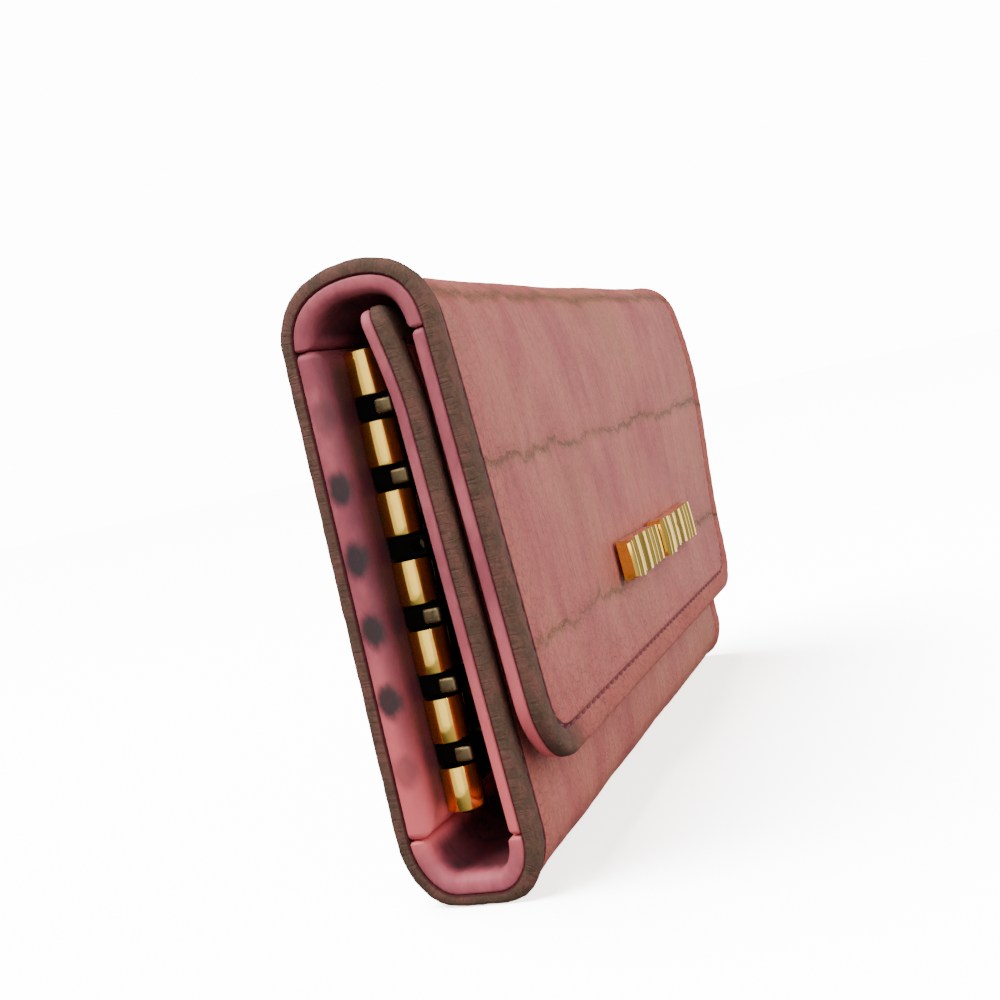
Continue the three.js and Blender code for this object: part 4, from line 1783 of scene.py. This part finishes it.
def hang_light(data: bpy.types.Light, towards: Vector) -> bpy.types.Object:
    """Puts a light in the scene.

    Args:
        data: the light.
        towards: the way it shines.

    Returns:
        Its object.
    """
    light = bpy.data.objects.new(data.name, data)
    light.rotation_mode = "QUATERNION"
    light.rotation_quaternion = towards.to_track_quat("-Z", "Y")
    bpy.context.scene.collection.objects.link(light)
    return light


def light_only(light: bpy.types.Object, taker: bpy.types.Object, name: str) -> None:
    """Keeps a light to one piece.

    Args:
        light: the light.
        taker: the one piece that takes it.
        name: of the collection that says so.
    """
    takers = bpy.data.collections.new(name)
    takers.objects.link(taker)
    light.light_linking.receiver_collection = takers


@dataclass
class Studio:
    """A pale floor, soft light and the camera. Places are in metres and angles in degrees."""

    azimuth: float = -68.94
    elevation: float = 3.28
    roll: float = -12.73
    lens: float = 46.1
    sensor: float = 36.0
    clip: Span = (0.005, 10.0)
    camera_at: Colour = (-170.97 * MM, -54.81 * MM, 48.65 * MM)
    backdrop: float = 14.0
    soft_from: Colour = (-0.55, -1.0, 0.45)
    soft_span: Span = (-0.2, 0.9)
    soft_shares: Span = (0.14, 0.95)
    floor_half: float = 4.0
    floor_colour: Colour = (0.93, 0.93, 0.93)
    floor_roughness: float = 0.9
    glow_colour: Colour = (1.0, 0.93, 0.86)
    floor_glow: float = 3.4
    floor_sun: float = 37.0
    sun_angle: float = 55.0
    sun_way: Colour = (0.14, -0.42, -1.0)

    def build(self) -> None:
        """Makes the floor, lights and camera."""
        floor = self.floor()
        self.floor_light(floor)
        self.surround()
        for light in LIGHTS:
            light.build()
        self.camera()

    def floor(self) -> bpy.types.Object:
        """Makes a plain pale floor that throws no light on the case.

        Returns:
            The floor.
        """
        bm = bmesh.new()
        bmesh.ops.create_grid(bm, x_segments=1, y_segments=1, size=self.floor_half)
        mesh = bpy.data.meshes.new("floor")
        bm.to_mesh(mesh)
        bm.free()
        floor = bpy.data.objects.new("floor", mesh)
        bpy.context.scene.collection.objects.link(floor)
        sh = Shader("pale_floor")
        sh.dress(Base_Color=self.floor_colour, Roughness=self.floor_roughness,
                 Emission_Color=self.glow_colour, Emission_Strength=self.floor_glow)
        mesh.materials.append(sh.material)
        floor.visible_diffuse = False
        floor.visible_glossy = False
        return floor

    def surround(self) -> None:
        """An even white backdrop, and a surround that lights the case mostly from the front."""
        world = bpy.data.worlds.new("surround")
        bpy.context.scene.world = world
        world.use_nodes = True
        tree = world.node_tree
        nodes, links = tree.nodes, tree.links
        backdrop = nodes["Background"]
        backdrop.inputs["Color"].default_value = (1, 1, 1, 1)
        backdrop.inputs["Strength"].default_value = self.backdrop
        wrap = nodes.new("ShaderNodeBackground")
        place = nodes.new("ShaderNodeTexCoord")
        facing = nodes.new("ShaderNodeVectorMath")
        facing.operation = "DOT_PRODUCT"
        facing.inputs[1].default_value = tuple(Vector(self.soft_from).normalized())
        links.new(place.outputs["Generated"], facing.inputs[0])
        spread = nodes.new("ShaderNodeMapRange")
        spread.interpolation_type = "SMOOTHSTEP"
        for socket, value in zip(list(spread.inputs)[1:5], self.soft_span + self.soft_shares):
            socket.default_value = value
        links.new(facing.outputs["Value"], spread.inputs[0])
        links.new(spread.outputs[0], wrap.inputs["Strength"])
        seen = nodes.new("ShaderNodeLightPath")
        mix = nodes.new("ShaderNodeMixShader")
        links.new(seen.outputs["Is Camera Ray"], mix.inputs[0])
        links.new(wrap.outputs[0], mix.inputs[1])
        links.new(backdrop.outputs[0], mix.inputs[2])
        links.new(mix.outputs[0], nodes["World Output"].inputs["Surface"])

    def floor_light(self, floor: bpy.types.Object) -> None:
        """Makes a broad soft light that only the floor takes, so that it stays pale round the shadow.

        Args:
            floor: the floor.
        """
        data = bpy.data.lights.new("floor_light", "SUN")
        data.energy, data.angle = self.floor_sun, math.radians(self.sun_angle)
        light_only(hang_light(data, Vector(self.sun_way)), floor, "floor_only")

    def rack_light(self, knuckles: bpy.types.Object) -> None:
        """Makes a wide light in front of the open end that only the bright knuckles mirror.

        Args:
            knuckles: the rack's knuckles.
        """
        light_only(RACK_LIGHT.build(), knuckles, "knuckles_only")

    def camera(self) -> None:
        """The camera, tipped as the case is seen."""
        a, e, roll = (math.radians(v) for v in (self.azimuth, self.elevation, self.roll))
        back = Vector((math.sin(a) * math.cos(e), -math.cos(a) * math.cos(e), math.sin(e)))
        right = Vector((math.cos(a), math.sin(a), 0))
        up = back.cross(right)
        tipped_right = right * math.cos(roll) + up * math.sin(roll)
        tipped_up = up * math.cos(roll) - right * math.sin(roll)
        data = bpy.data.cameras.new("camera")
        data.lens, data.sensor_width = self.lens, self.sensor
        data.clip_start, data.clip_end = self.clip
        camera = bpy.data.objects.new("camera", data)
        turn = Matrix((tipped_right, tipped_up, back)).transposed().to_4x4()
        camera.matrix_world = Matrix.Translation(self.camera_at) @ turn
        bpy.context.scene.collection.objects.link(camera)
        bpy.context.scene.camera = camera


def rub_centres() -> list[Vector]:
    """Finds where the hooks have rubbed the back lining's edge.

    Returns:
        A place beside each hook.
    """
    lining_low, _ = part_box("back_lining")
    return [Vector((lining_low.x + 0.1 * MM, lining_low.y + 0.75 * MM,
                    sum(corner.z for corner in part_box(f"hook_link_{index}")) / 2))
            for index in range(1, 7)]


def main() -> None:
    """Builds the case and the studio."""
    logging.basicConfig(level=logging.INFO, format="%(message)s")
    studio = Studio()
    studio.build()
    finishes = Finishes(rub_centres())
    SmallParts(finishes).dress()
    profile = Profile()
    OuterLeather(profile, finishes).build()
    Linings(profile, finishes).build()
    studio.rack_light(HookRack(finishes).build())
    Bow(finishes).build()


if __name__ == "__main__":
    main()
